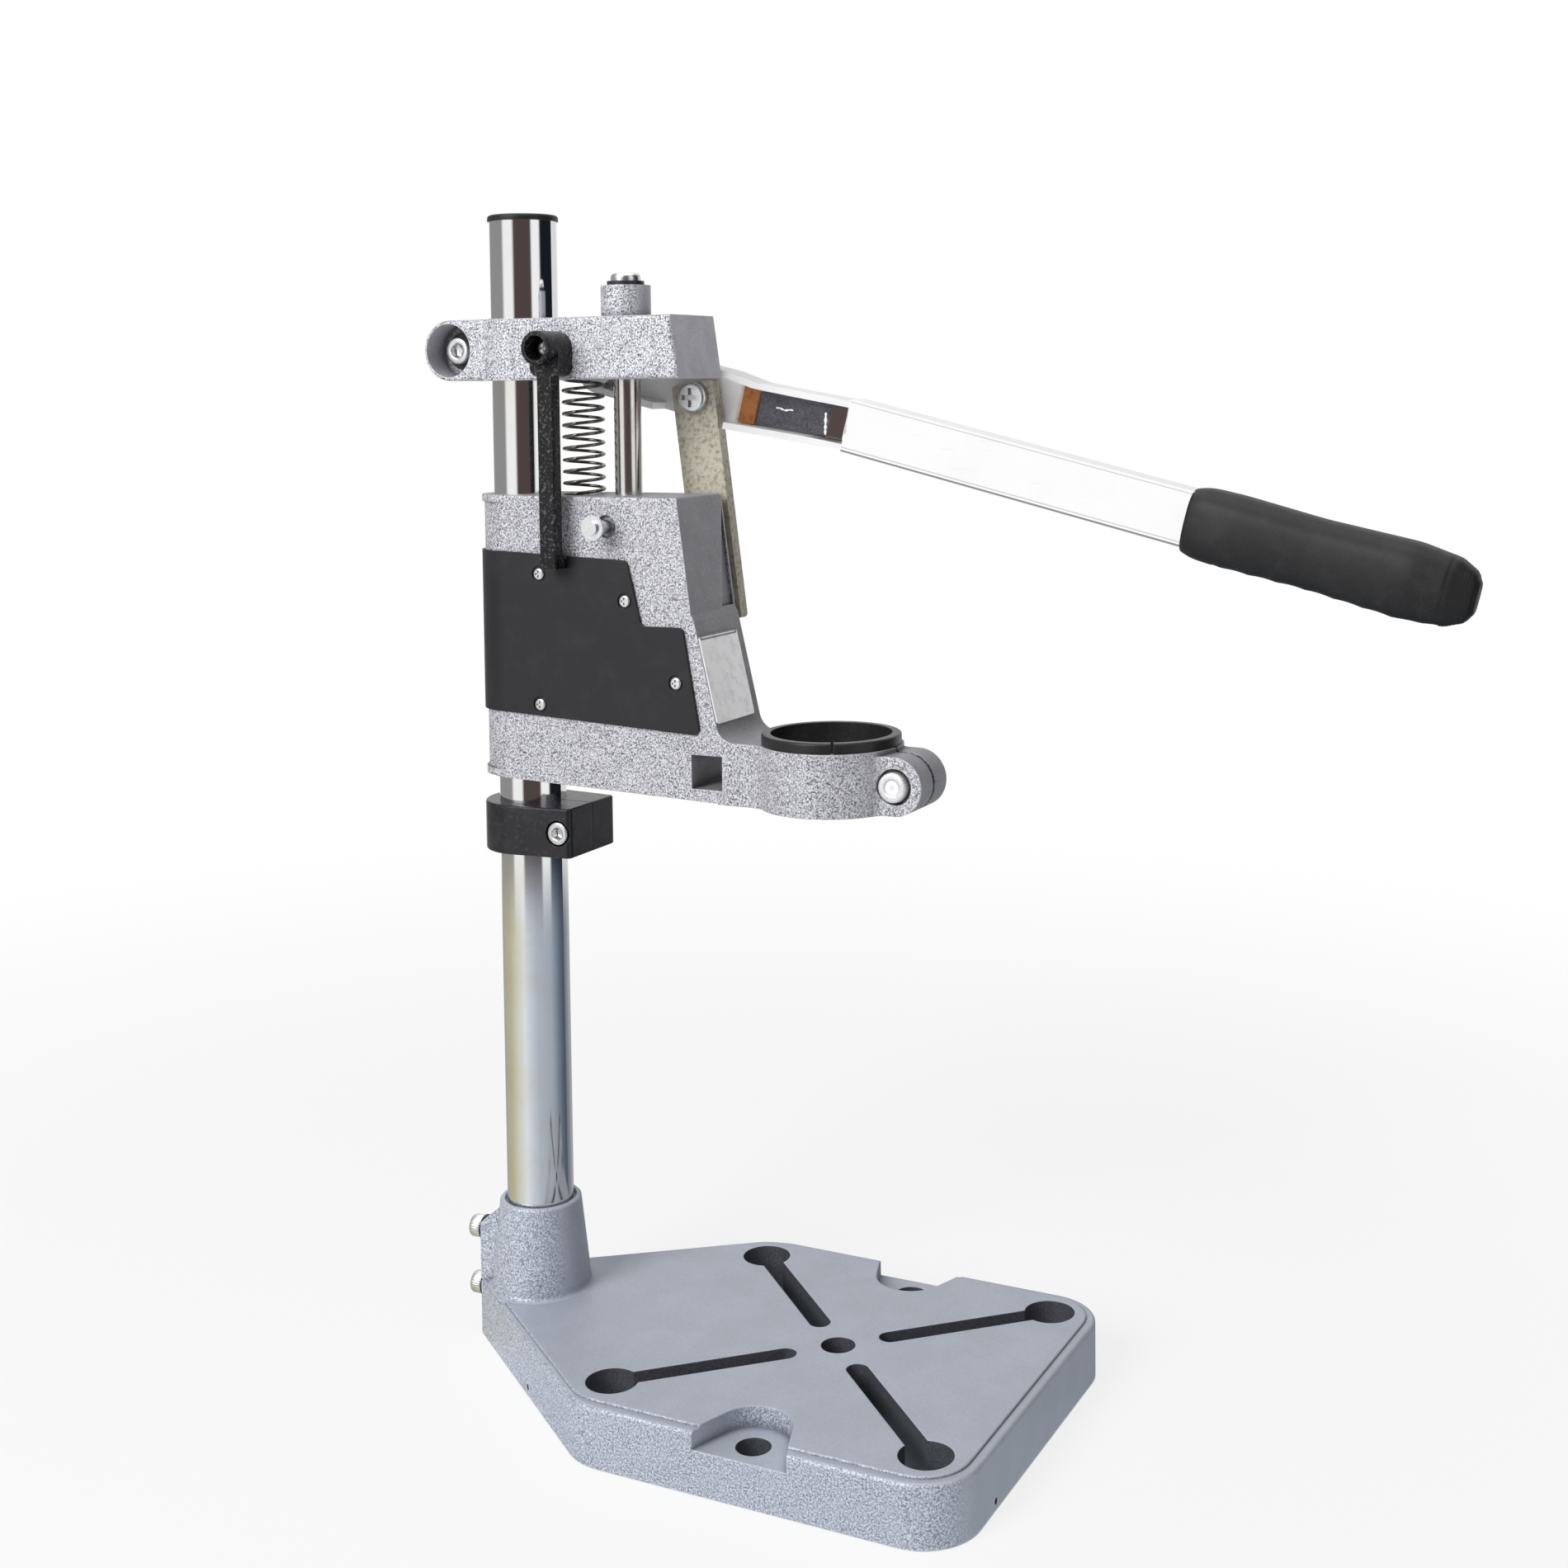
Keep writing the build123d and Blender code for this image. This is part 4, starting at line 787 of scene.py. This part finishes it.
    def surround(self, name: str, grid: np.ndarray, stops: Bands, far_stops: Bands) -> None:
        """Stand something round the object that only mirrors and glosses see.

        Its shade depends on the bearing atan2(x, -y) round the column, where 0 is straight ahead of
        the near side and the shades run through the stops from -180 to 180 degrees. From 0.6 to
        0.9 metres from the origin they give way to the far stops.

        Args:
            name: its name.
            grid: its points.
            stops: its shades near the object.
            far_stops: those farther off.
        """
        piece = Shape.grid(name, grid, wrap_u=False)
        tree = Tree(name)
        place = tree.place()
        across, ahead = tree.axis(place, 0), 0.0 - tree.axis(place, 1)
        bearing = tree.node("ShaderNodeMath", {"operation": "ARCTAN2"}, {0: across, 1: ahead})[0]
        near, distant = (
            tree.ramp(bearing / tau + 0.5, [(angle / 360.0 + 0.5, colour) for angle, colour in row])
            for row in (stops, far_stops))
        shade = tree.blend(tree.vector("LENGTH", place).step(*self.surround_fade), near, distant)
        tree.show(tree.node("ShaderNodeEmission", {}, {"Color": shade, "Strength": 1.0})[0])
        dress(piece, tree.material)
        piece.visible_camera = piece.visible_diffuse = piece.visible_shadow = False
        piece.visible_transmission = False

    def surrounds(self) -> None:
        """Stand a banded wall round the object and lay a tinted carpet, for the mirrored metal.

        The points of both are (r sin a, -r cos a, z), at two heights z or two radii r.
        """
        bands = (
            (-180.0, self.pale), (-126.0, self.white), (-119.0, self.grey), (-44.0, self.grey),
            (-35.0, self.white), (-5.0, self.white), (3.0, self.brown), (58.0, self.brown),
            (64.0, self.white), (88.0, self.white), (95.0, self.navy), (139.0, self.navy),
            (149.0, self.pale), (180.0, self.pale))
        turn = np.linspace(-pi, pi, self.surround_steps)
        for name, radii, heights, stops in (
                ("surround_wall", (self.surround_r, self.surround_r), self.surround_z, bands),
                ("surround_carpet", (self.carpet_r, self.surround_r),
                 (self.carpet_z, self.carpet_z), self.carpet)):
            radius, height = (np.array(row)[:, None] for row in (radii, heights))
            grid = np.stack([radius * np.sin(turn), -radius * np.cos(turn), height + 0 * turn], -1)
            self.surround(name, grid, stops, bands)

    def build(self) -> None:
        """Set up the whole studio."""
        bpy.context.scene.view_settings.view_transform = "Standard"
        self.camera()
        self.world()
        self.floor()
        for lamp in self.lamps:
            lamp.hang()
        self.surrounds()
        LOG.info("studio: camera, floor, world, lamps and surrounds")


@dataclass
class Castings:
    """The painted base, head and carriage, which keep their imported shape."""

    openings: Openings = Openings(
        (126.6, 0.0), ((0.0, 0.0, 6.2), (0.0, 62.9, 6.0), (59.2, 56.1, 9.2)), 4.0)
    # The end shading tones paint light on the tops and ends of the base and the head, and shade on
    # the carriage's.
    base: HammerPaint = HammerPaint(
        "base_paint", (0.43, 0.46, 0.53), (0.40, 0.43, 0.49), (0.13, 0.14, 0.175),
        0.8, 0.62, 16.0, 0.05, 0.42, end_shading_tone=1.12, openings=openings)
    body: HammerPaint = HammerPaint(
        "casting_paint", (0.47, 0.47, 0.50), (0.41, 0.41, 0.44), (0.07, 0.07, 0.09),
        0.95, end_shading_tone=0.68)
    head: HammerPaint = HammerPaint(
        "head_paint", (0.53, 0.53, 0.57), (0.45, 0.45, 0.49), (0.06, 0.06, 0.08),
        1.0, end_shading_tone=1.1)

    def build(self) -> None:
        """Dress the castings."""
        dress(node("base_casting"), self.base.make())
        dress(node("carriage_casting"), self.body.make())
        dress(node("head_casting"), self.head.make())
        LOG.info("castings: base, carriage and head are painted")


@dataclass
class Column:
    """The chromed column with its cap, the guide rod and the stop collar."""

    chrome: Metal = Metal("column_chrome", (0.84, 0.84, 0.85), (0.70, 0.62, 0.40),
                          0.28, 30.0, 0.07, 0.04, Grain.ROUND_Z, 3.0, 0.002)
    rod: Metal = Metal("rod_steel", (0.72, 0.71, 0.69), (0.45, 0.40, 0.33),
                       0.3, 10.0, 0.16, 0.08, Grain.ROUND_Z, 3.0, 0.003)
    cap: Dark = Dark("cap_black", (0.012, 0.012, 0.013), (0.12, 0.12, 0.12), 0.15, 0.42)
    enamel: Dark = Dark("stop_black", (0.014, 0.014, 0.018), (0.09, 0.09, 0.11),
                        0.22, 0.26, 0.12, 1.4, 0.03, 0.35)

    def build(self) -> None:
        """Dress the column's pieces."""
        dress(node("column_tube"), self.chrome.make())
        dress(node("guide_rod"), self.rod.make())
        dress(node("column_cap"), self.cap.make())
        dress(node("stop_collar"), self.enamel.make())
        LOG.info("column: tube, cap, guide rod and stop collar are dressed")


@dataclass(frozen=True)
class Screw:
    """A socket screw's sizes in millimetres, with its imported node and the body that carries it.

    A dish is the depth of a plain round hollow that takes the hexagon's place.
    """

    node: str
    body: str
    head_d: float
    head_h: float
    shank_d: float
    dish: float = 0.0


@dataclass
class Fasteners:
    """Screws, washers and nuts, with knurled and hollow heads where they show."""

    zinc: Metal = Metal("zinc", (0.78, 0.79, 0.80), (0.42, 0.40, 0.36),
                        0.35, 2.5, 0.28, 0.2, Grain.NONE, 0.35, 0.02)
    galvanised: Metal = Metal("galvanised", (0.74, 0.74, 0.75), (0.5, 0.5, 0.5),
                              0.6, 0.9, 0.5, 0.2, Grain.NONE, 0.5, 0.08, 0.6)
    black: Dark = Dark("washer_black", (0.02, 0.02, 0.022), (0.16, 0.15, 0.14),
                       0.3, 0.36, 0.2, 0.4, 0.02)
    near_screws: tuple[Screw, ...] = (
        Screw("head_clamp_screw", "head", 10.0, 4.2, 6.0),
        Screw("stop_collar_screw", "stop", 8.5, 5.0, 5.0),
        Screw("collar_screw", "carriage", 10.4, 5.2, 6.0, 0.4))
    set_screw: Screw = Screw("set_screws", "base", 8.5, 5.0, 5.0)
    knurl_depth: float = 0.14 * MM
    knurls: int = 30
    knurl_steps: int = 6
    edge_share: float = 0.05
    hollow_share: float = 0.58
    flat_share: float = 0.84
    hollow_depth_share: float = 0.55
    head_turn: float = 11.0

    def head(self, name: str, screw: Screw, seat: Sequence[float], way: Point,
             shank_l: float) -> bpy.types.Object:
        """Make a socket screw as one turned surface.

        Its radius at angle a is the profile's, plus a small cosine along the head's side for the
        knurling. In the hollow it is that of a hexagon, d / cos(b) with b the angle from the middle
        of the nearest flat.

        Args:
            name: the piece's name.
            screw: its sizes.
            seat: the middle of the face under its head.
            way: the direction that the head points.
            shank_l: the shank's length.

        Returns:
            The screw.
        """
        head, shank, head_h = screw.head_d * MM / 2, screw.shank_d * MM / 2, screw.head_h * MM
        edge = 2 * head * self.edge_share
        flat = head * self.hollow_share * self.flat_share
        dish = screw.dish * MM
        floor = head_h - dish if dish else head_h * (1 - self.hollow_depth_share)
        # A dish takes the same ring twice here, which keeps the shading of its corner sharp.
        wall = min(head_h - edge * 0.7, head_h - dish)
        profile = np.array([
            (shank * 0.8, -shank_l), (shank, -shank_l + shank * 0.2), (shank, -0.02 * MM),
            (head - edge, 0.0), (head, edge * 0.6), (head, head_h - edge),
            (head - edge * 0.4, head_h - edge * 0.3), (head - edge * 1.4, head_h),
            (flat * 1.28, head_h), (flat * 1.1, head_h - edge * 0.15),
            (flat, wall), (flat, floor), (flat * 0.3, floor - dish / 4)])
        side, hollow = slice(4, 6), slice(10, 12)
        steps = self.knurls * self.knurl_steps
        points = Shape.turned(profile, steps)
        angle = np.linspace(0.0, tau, steps, endpoint=False)
        ridge = 1.0 - (0.5 + 0.5 * np.cos(self.knurls * angle)) * self.knurl_depth / head
        points[side, :, :2] *= ridge[None, :, None]
        if not dish:
            hexagon = 1.0 / np.cos((angle + pi / 6) % (pi / 3) - pi / 6)
            points[hollow, :, :2] *= hexagon[None, :, None]
        turn = radians(self.head_turn)
        return Shape.grid(name, Shape.seated(points, Vector(seat), Vector(way), turn))

    def build(self) -> None:
        """Dress the fasteners and put finer socket screws where they show."""
        zinc = self.zinc.make()
        dress_all(zinc, "head_clamp_nut", "guide_rod_screw", "depth_arm_screw", "fulcrum_bush",
                  "fulcrum_screw", "cover_screws", "lock_screw", "collar_nut", "link_pivot_screw",
                  "link_pin_screw", "link_pin_washer", "link_pin_nut")
        dress_all(self.black.make(), "head_clamp_washers", "set_screw_washers", "guide_rod_washer")
        for screw in self.near_screws:
            low, high = corners(screw.node)
            seat = ((low[0] + high[0]) / 2, low[1] + screw.head_h * MM, (low[2] + high[2]) / 2)
            piece = self.head(f"{screw.node}_fine", screw, seat, (0, -1, 0), high[1] - seat[1])
            dress(piece, self.galvanised.make() if screw.dish else zinc)
            stand_for(piece, screw.body, "zinc", screw.node)
        screw = self.set_screw
        low, high = corners(screw.node)
        half = screw.head_d * MM / 2
        for index, height in enumerate((low[2] + half, high[2] - half)):
            seat = (low[0] + screw.head_h * MM, 0.0, height)
            piece = self.head(f"set_screw_fine_{index}", screw, seat, (-1, 0, 0), high[0] - seat[0])
            dress(piece, zinc)
            stand_for(piece, screw.body, "zinc", screw.node)


@dataclass
class Spring:
    """The return spring: one wire in even turns whose ends bend to their seats."""

    middle_x: float = 25.5 * MM
    coil_r: float = 7.35 * MM
    wire_r: float = 0.6 * MM
    turns: int = 12
    turn_steps: int = 40
    lead_r: float = 1.8 * MM
    lead_steps: int = 8
    sides: int = 12
    steel: Metal = Metal("spring_steel", (0.19, 0.18, 0.16), (0.14, 0.12, 0.10),
                         0.3, 4.0, 0.2, 0.12, Grain.NONE, 0.5, 0.008)

    def build(self) -> None:
        """Sweep the wire along its middle line.

        The line is (x + R cos a, R sin a, z0 + p a / 2 pi) between a quarter bend and a straight
        end at each seat, and a ring of the wire stands on it along the radial direction and the
        one square to that and to the line.
        """
        low, high = corners("return_spring")
        lead = 2 * self.wire_r + self.lead_r
        angle = np.linspace(0.0, tau * self.turns, self.turns * self.turn_steps + 1)
        pitch = (high[2] - low[2] - 2 * lead) / self.turns
        coil = np.stack([self.middle_x + self.coil_r * np.cos(angle), self.coil_r * np.sin(angle),
                         low[2] + lead + pitch * angle / tau], -1)
        bend = np.linspace(0.0, pi / 2, self.lead_steps + 1)[:-1]
        fall = np.stack([np.full(self.lead_steps, self.middle_x + self.coil_r),
                         -self.lead_r * (1 - np.sin(bend)),
                         low[2] + lead - self.lead_r * np.cos(bend)], -1)
        foot = fall[:1] - np.array([[0.0, 0.0, 2 * self.wire_r]])
        rise = fall[::-1] * [1, -1, -1] + [0, 0, low[2] + high[2]]
        tip = rise[-1:] + np.array([[0.0, 0.0, 2 * self.wire_r]])
        line = np.vstack([foot, fall, coil, rise, tip])
        along = np.gradient(line, axis=0)
        along /= np.linalg.norm(along, axis=1, keepdims=True)
        out = line - [self.middle_x, 0.0, 0.0]
        out[:, 2] = 0.0
        out -= (out * along).sum(1, keepdims=True) * along
        out /= np.linalg.norm(out, axis=1, keepdims=True)
        across = np.cross(along, out)
        turn = np.linspace(0.0, tau, self.sides, endpoint=False)[None, :, None]
        ring = np.cos(turn) * out[:, None] + np.sin(turn) * across[:, None]
        piece = Shape.grid("spring_wire", line[:, None] + self.wire_r * ring)
        dress(piece, self.steel.make())
        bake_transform(piece)
        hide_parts("return_spring")
        LOG.info("%s closes up between the carriage and the head and stands for return_spring",
                 piece.name)


@dataclass(frozen=True)
class Bead:
    """A bead of weld: its ends along and above the lever's line and its radius, in millimetres."""

    name: str
    first: tuple[float, float]
    last: tuple[float, float]
    radius: float


@dataclass
class Lever:
    """The lever's plated channel, chromed bar and moulded grip, and the link."""

    drop: float = 14.0
    fulcrum: tuple[float, float] = (22.0 * MM, 372.3 * MM)
    grip_start: float = 229.0 * MM
    grip_l: float = 98.2 * MM
    grip_middle: float = -0.4 * MM
    grip_y: float = 43.0 * MM
    grip_h: float = 26.2 * MM
    grip_w: float = 23.6 * MM
    grip_power: float = 3.0
    grip_sides: int = 96
    grip_smoothings: int = 6
    waves: int = 5
    wave_depth: float = 0.35 * MM
    wave_span: Span = (0.12, 0.9)
    parting_h: float = 0.12 * MM
    parting_w: float = 0.004
    bead_steps: int = 40
    bead_sides: int = 16
    bead_sway: float = 0.25 * MM
    beads: tuple[Bead, ...] = (
        Bead("weld_streak", (70.5, 0.6), (78.0, 1.3), 0.42),
        Bead("weld_drip", (91.0, 4.0), (92.6, -4.4), 0.6))
    line_soft: float = 0.15
    # Shades of the painted lines: reflection and shade on the bar, shadow under the channel's
    # flanges.
    line_dark: Colour = (0.10, 0.09, 0.085)
    line_grey: Colour = (0.30, 0.28, 0.26)
    bar: Metal = Metal("bar_chrome", (0.985, 0.985, 0.985), (0.84, 0.85, 0.88),
                       0.25, 30.0, 0.08, 0.04, Grain.ALONG_X, 1.0, 0.003)
    # The channel's near-white tint with little metal is partly its plating's colour and partly a
    # painted reflection of the white around it.
    channel: Metal = Metal("lever_zinc", (0.99, 0.99, 0.99), (0.85, 0.85, 0.86),
                           0.15, 6.0, 0.4, 0.08, Grain.NONE, 0.8, 0.006, 0.05)
    plate: HammerPaint = HammerPaint("neck_dark", (0.115, 0.115, 0.135), (0.07, 0.07, 0.085),
                                     (0.30, 0.30, 0.34), 0.35, 0.8, 4.0, 0.12, 0.35)
    strip: Metal = Metal("strip_brown", (0.50, 0.19, 0.06), (0.16, 0.06, 0.025),
                         0.6, 2.5, 0.5, 0.2, Grain.NONE, 0.5, 0.05, 0.3)
    weld: Metal = Metal("weld_bright", WHITE, (0.8, 0.8, 0.8), 0.2, 2.0, 0.3, 0.1, metallic=0.0)
    link: Metal = Metal("link_zinc", (0.50, 0.47, 0.39), (0.21, 0.18, 0.10),
                        0.8, 1.7, 0.4, 0.25, Grain.NONE, 0.7, 0.06, 0.5)
    rubber: Dark = Dark("grip_black", (0.012, 0.012, 0.013), (0.07, 0.07, 0.07),
                        0.2, 0.5, 0.15, 0.35, 0.03)

    def grip(self) -> bpy.types.Object:
        """Mould the grip.

        A ring at share s along it is a superellipse |y/w|^n + |t/h|^n = 1 whose half width and
        height follow smooth curves of s, with a fine parting bead at its widest line and five
        shallow finger waves along its underside.

        Returns:
            The grip.
        """
        places = np.array([0.0, 0.015, 0.05, 0.16, 0.45, 0.78, 0.92, 0.98, 1.0])
        heights = np.array([0.86, 0.915, 0.96, 0.98, 0.93, 1.0, 0.88, 0.66, 0.4]) * self.grip_h / 2
        widths = np.array([0.80, 0.86, 0.92, 0.97, 0.92, 1.0, 0.86, 0.62, 0.36]) * self.grip_w / 2
        close = 1 - np.linspace(0, 0.1, 24) ** 1.5 / 0.3162
        share = np.unique(np.concatenate([np.linspace(0, 1, 90), close]))
        share = share[(share >= 0) & (share <= 1)]
        height = np.interp(share, places, heights)
        width = np.interp(share, places, widths)
        for _ in range(self.grip_smoothings):
            for row in (height, width):
                row[1:-1] = (row[:-2] + 2 * row[1:-1] + row[2:]) / 4
        angle = np.linspace(0.0, tau, self.grip_sides, endpoint=False)
        power = 2.0 / self.grip_power
        across, above = (np.sign(c) * np.abs(c) ** power for c in (np.cos(angle), np.sin(angle)))
        under = np.clip(-np.sin(angle), 0, 1)[None] ** 2
        wave = self.wave_depth * np.cos(share * tau * self.waves)[:, None] * under
        wave *= ((share > self.wave_span[0]) & (share < self.wave_span[1]))[:, None]
        parting = self.parting_h * np.exp(-((np.cos(angle) ** 2 - 1) / self.parting_w) ** 2)[None]
        y = self.grip_y + (width[:, None] + parting) * across
        t = self.grip_middle + (height[:, None] - np.abs(wave)) * above
        s = self.grip_start + self.grip_l * share[:, None] + 0 * y
        return Shape.grid("grip", np.stack(self.place(s, t, y), -1))

    def place(self, along: Any, above: Any, y: Any) -> tuple[Any, Any, Any]:
        """The place along the lever and above its middle line, in metres, of numbers or arrays."""
        slope = radians(self.drop)
        return (self.fulcrum[0] + along * cos(slope) + above * sin(slope), y,
                self.fulcrum[1] - along * sin(slope) + above * cos(slope))

    def marks(self) -> None:
        """Dress the bar and the channel with what their metal shows in bands along the lever.

        The bar's colour holds painted reflection and shade: dark and grey lines where it rounds
        into its upper and lower faces. The end of the channel's window is darkened, and dark lines
        under the flanges are painted shadow. Heights and reaches are in millimetres.
        """
        slope = radians(self.drop)
        start = (self.fulcrum[0] / MM, 0.0, self.fulcrum[1] / MM)
        lengthwise, upward = (cos(slope), 0.0, -sin(slope)), (sin(slope), 0.0, cos(slope))
        # stain here is the grey of the painted reflection lines on the bar and of the window's
        # darkened end.
        soft, dark, stain = self.line_soft, self.line_dark, self.line_grey

        def line(tree: Tree, low: float, high: float) -> Value:
            """A mask between two heights on the lever's near side."""
            height = tree.along(start, upward)
            return height.step(low - soft, low + soft) * height.step(high + soft, high - soft)

        def bar(tree: Tree, colour: Value) -> Value:
            """Lines near the bar's edges."""
            # Painted reflection and shade along the bar's rounded edges.
            for low, high, share, shade in (
                    (-9.6, -8.9, 0.8, dark), (-8.2, -7.8, 0.5, stain), (8.9, 9.3, 0.45, stain)):
                colour = tree.blend(line(tree, low, high) * share, colour, shade)
            return colour

        def tongue(tree: Tree, colour: Value) -> Value:
            """The darkened end of the window, and painted shadow in dark lines under the flanges.
            """
            reach = tree.along(start, lengthwise)
            window = reach.step(87.4, 88.0) * reach.step(96.1, 95.7) * line(tree, -6.7, 6.3)
            colour = tree.blend(window * 0.9, colour, stain)
            # Painted shadow along the web under the flanges.
            flanges = line(tree, 6.1, 6.5) + line(tree, -6.9, -6.5)
            return tree.blend(flanges * reach.step(56.0, 57.0) * 0.8, colour, dark)

        dress(node("lever_bar"), self.bar.make(bar))
        dress(node("lever_channel"), self.channel.make(tongue))

    def streaks(self) -> None:
        """Lay the weld's bright streak and drip on the neck.

        Each is a bead along a swaying line: at angle a its ring is (r cos a, r sin a), with the
        radius r = R sqrt(1 - (2 s - 1)^4) (3 + sin 23 s) / 4 at share s.
        """
        weld, face = self.weld.make(), corners("neck_plate")[0][1]
        share = np.linspace(0.0, 1.0, self.bead_steps)
        swell = (1.0 - (2 * share - 1) ** 4) ** 0.5 * (0.75 + 0.25 * np.sin(share * 23.0))
        turn = np.linspace(0.0, tau, self.bead_sides, endpoint=False)[:, None]
        for bead in self.beads:
            first, last = (np.array(self.place(s * MM, t * MM, face))
                           for s, t in (bead.first, bead.last))
            middle = first + (last - first) * share[:, None]
            middle[:, 2] += self.bead_sway * np.sin(share * 9.0)
            size = bead.radius * MM * swell + 0.01 * MM
            way = (last - first) / np.linalg.norm(last - first)
            out = np.cross(way, np.array([0.0, 1.0, 0.0]))
            ring = np.cos(turn) * np.cross(out, way) + np.sin(turn) * out
            piece = Shape.grid(bead.name, middle[:, None] + size[:, None, None] * ring)
            dress(piece, weld)
            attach(piece, "lever")
        LOG.info("lever: streak and drip lie on the neck")

    def build(self) -> None:
        """Dress the lever and the link, and mould the grip."""
        self.marks()
        self.streaks()
        dress(node("neck_plate"), self.plate.make())
        dress(node("neck_strip"), self.strip.make())
        dress(node("link_bar"), self.link.make())
        grip = self.grip()
        dress(grip, self.rubber.make())
        stand_for(grip, "lever", "grip_black", "lever_grip")


@dataclass
class Carriage:
    """The carriage's cover, collar liner and label plate, and the depth arm before them."""

    cover: Dark = Dark("cover_black", (0.016, 0.016, 0.019), (0.04, 0.04, 0.045),
                       0.3, 0.42, 0.12, 0.3, 0.01)
    liner: Dark = Dark("liner_black", (0.016, 0.016, 0.017), (0.10, 0.10, 0.10),
                       0.2, 0.34, 0.15, 0.6, 0.01)
    arm: Dark = Dark("arm_black", (0.005, 0.005, 0.006), (0.20, 0.20, 0.22),
                     0.02, 0.3, 0.2, 1.1, 0.3, 0.3, 0.45, 0.54)
    label: Metal = Metal("label_silver", (0.98, 0.98, 0.99), (0.8, 0.8, 0.83),
                         0.5, 4.0, 0.24, 0.15, Grain.NONE, 0.4, 0.01, 0.9)
    border: Metal = Metal("label_rim", (0.3, 0.3, 0.33), (0.2, 0.2, 0.22),
                          0.3, 4.0, 0.35, 0.1, metallic=0.3)
    border_w: float = 0.7 * MM
    border_h: float = 0.2 * MM
    border_sink: float = 0.05 * MM
    border_foot: float = 0.1 * MM

    def build(self) -> None:
        """Dress the pieces."""
        dress(node("cover_plate"), self.cover.make())
        dress(node("collar_liner"), self.liner.make())
        dress(node("depth_arm"), self.arm.make())
        dress(node("label_plate"), self.label.make())
        self.rim()
        LOG.info("carriage: cover, liner, arm and label plate are dressed")

    def rim(self) -> None:
        """Raise a thin border on the label plate.

        The border is a ring of four corners: a low section with slanting sides stands on the
        plate along a rectangle one border's width inside its edge.
        """
        points = np.array([tuple(vertex.co) for vertex in node("label_plate").data.vertices])
        low, high = points.min(0), points.max(0)
        lean = np.array([low[0] - high[0], 0.0, high[2] - low[2]])
        lean /= np.linalg.norm(lean)
        out = np.array([lean[2], 0.0, -lean[0]])
        reach = points @ out
        top = points[reach > reach.max() - 0.05 * MM]
        y, t = top[:, 1], top @ lean
        face = (top @ out).mean() - self.border_sink
        rows = []
        for inset, rise in ((1.0, 0.0), (1.15, 1.0), (1.85, 1.0), (2.0, 0.0)):
            edge = self.border_w * inset
            left, right, foot, head = y.min() + edge, y.max() - edge, t.min() + edge, t.max() - edge
            ring = [(left, foot), (right, foot), (right, head), (left, head)]
            height = out * (face + rise * self.border_h)
            rows.append([lean * b + np.array([0.0, a, 0.0]) + height for a, b in ring])
        rows += [[corner - out * self.border_foot for corner in row] for row in (rows[-1], rows[0])]
        piece = Shape.grid("label_rim", np.array(rows), wrap_v=True, smooth=False)
        dress(piece, self.border.make())
        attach(piece, "carriage")


def main() -> None:
    """Build every part of the scene in order."""
    logging.basicConfig(level=logging.INFO, format="%(message)s")
    for part in (Studio(), Castings(), Column(), Fasteners(), Spring(), Lever(), Carriage()):
        part.build()


if __name__ == "__main__":
    main()
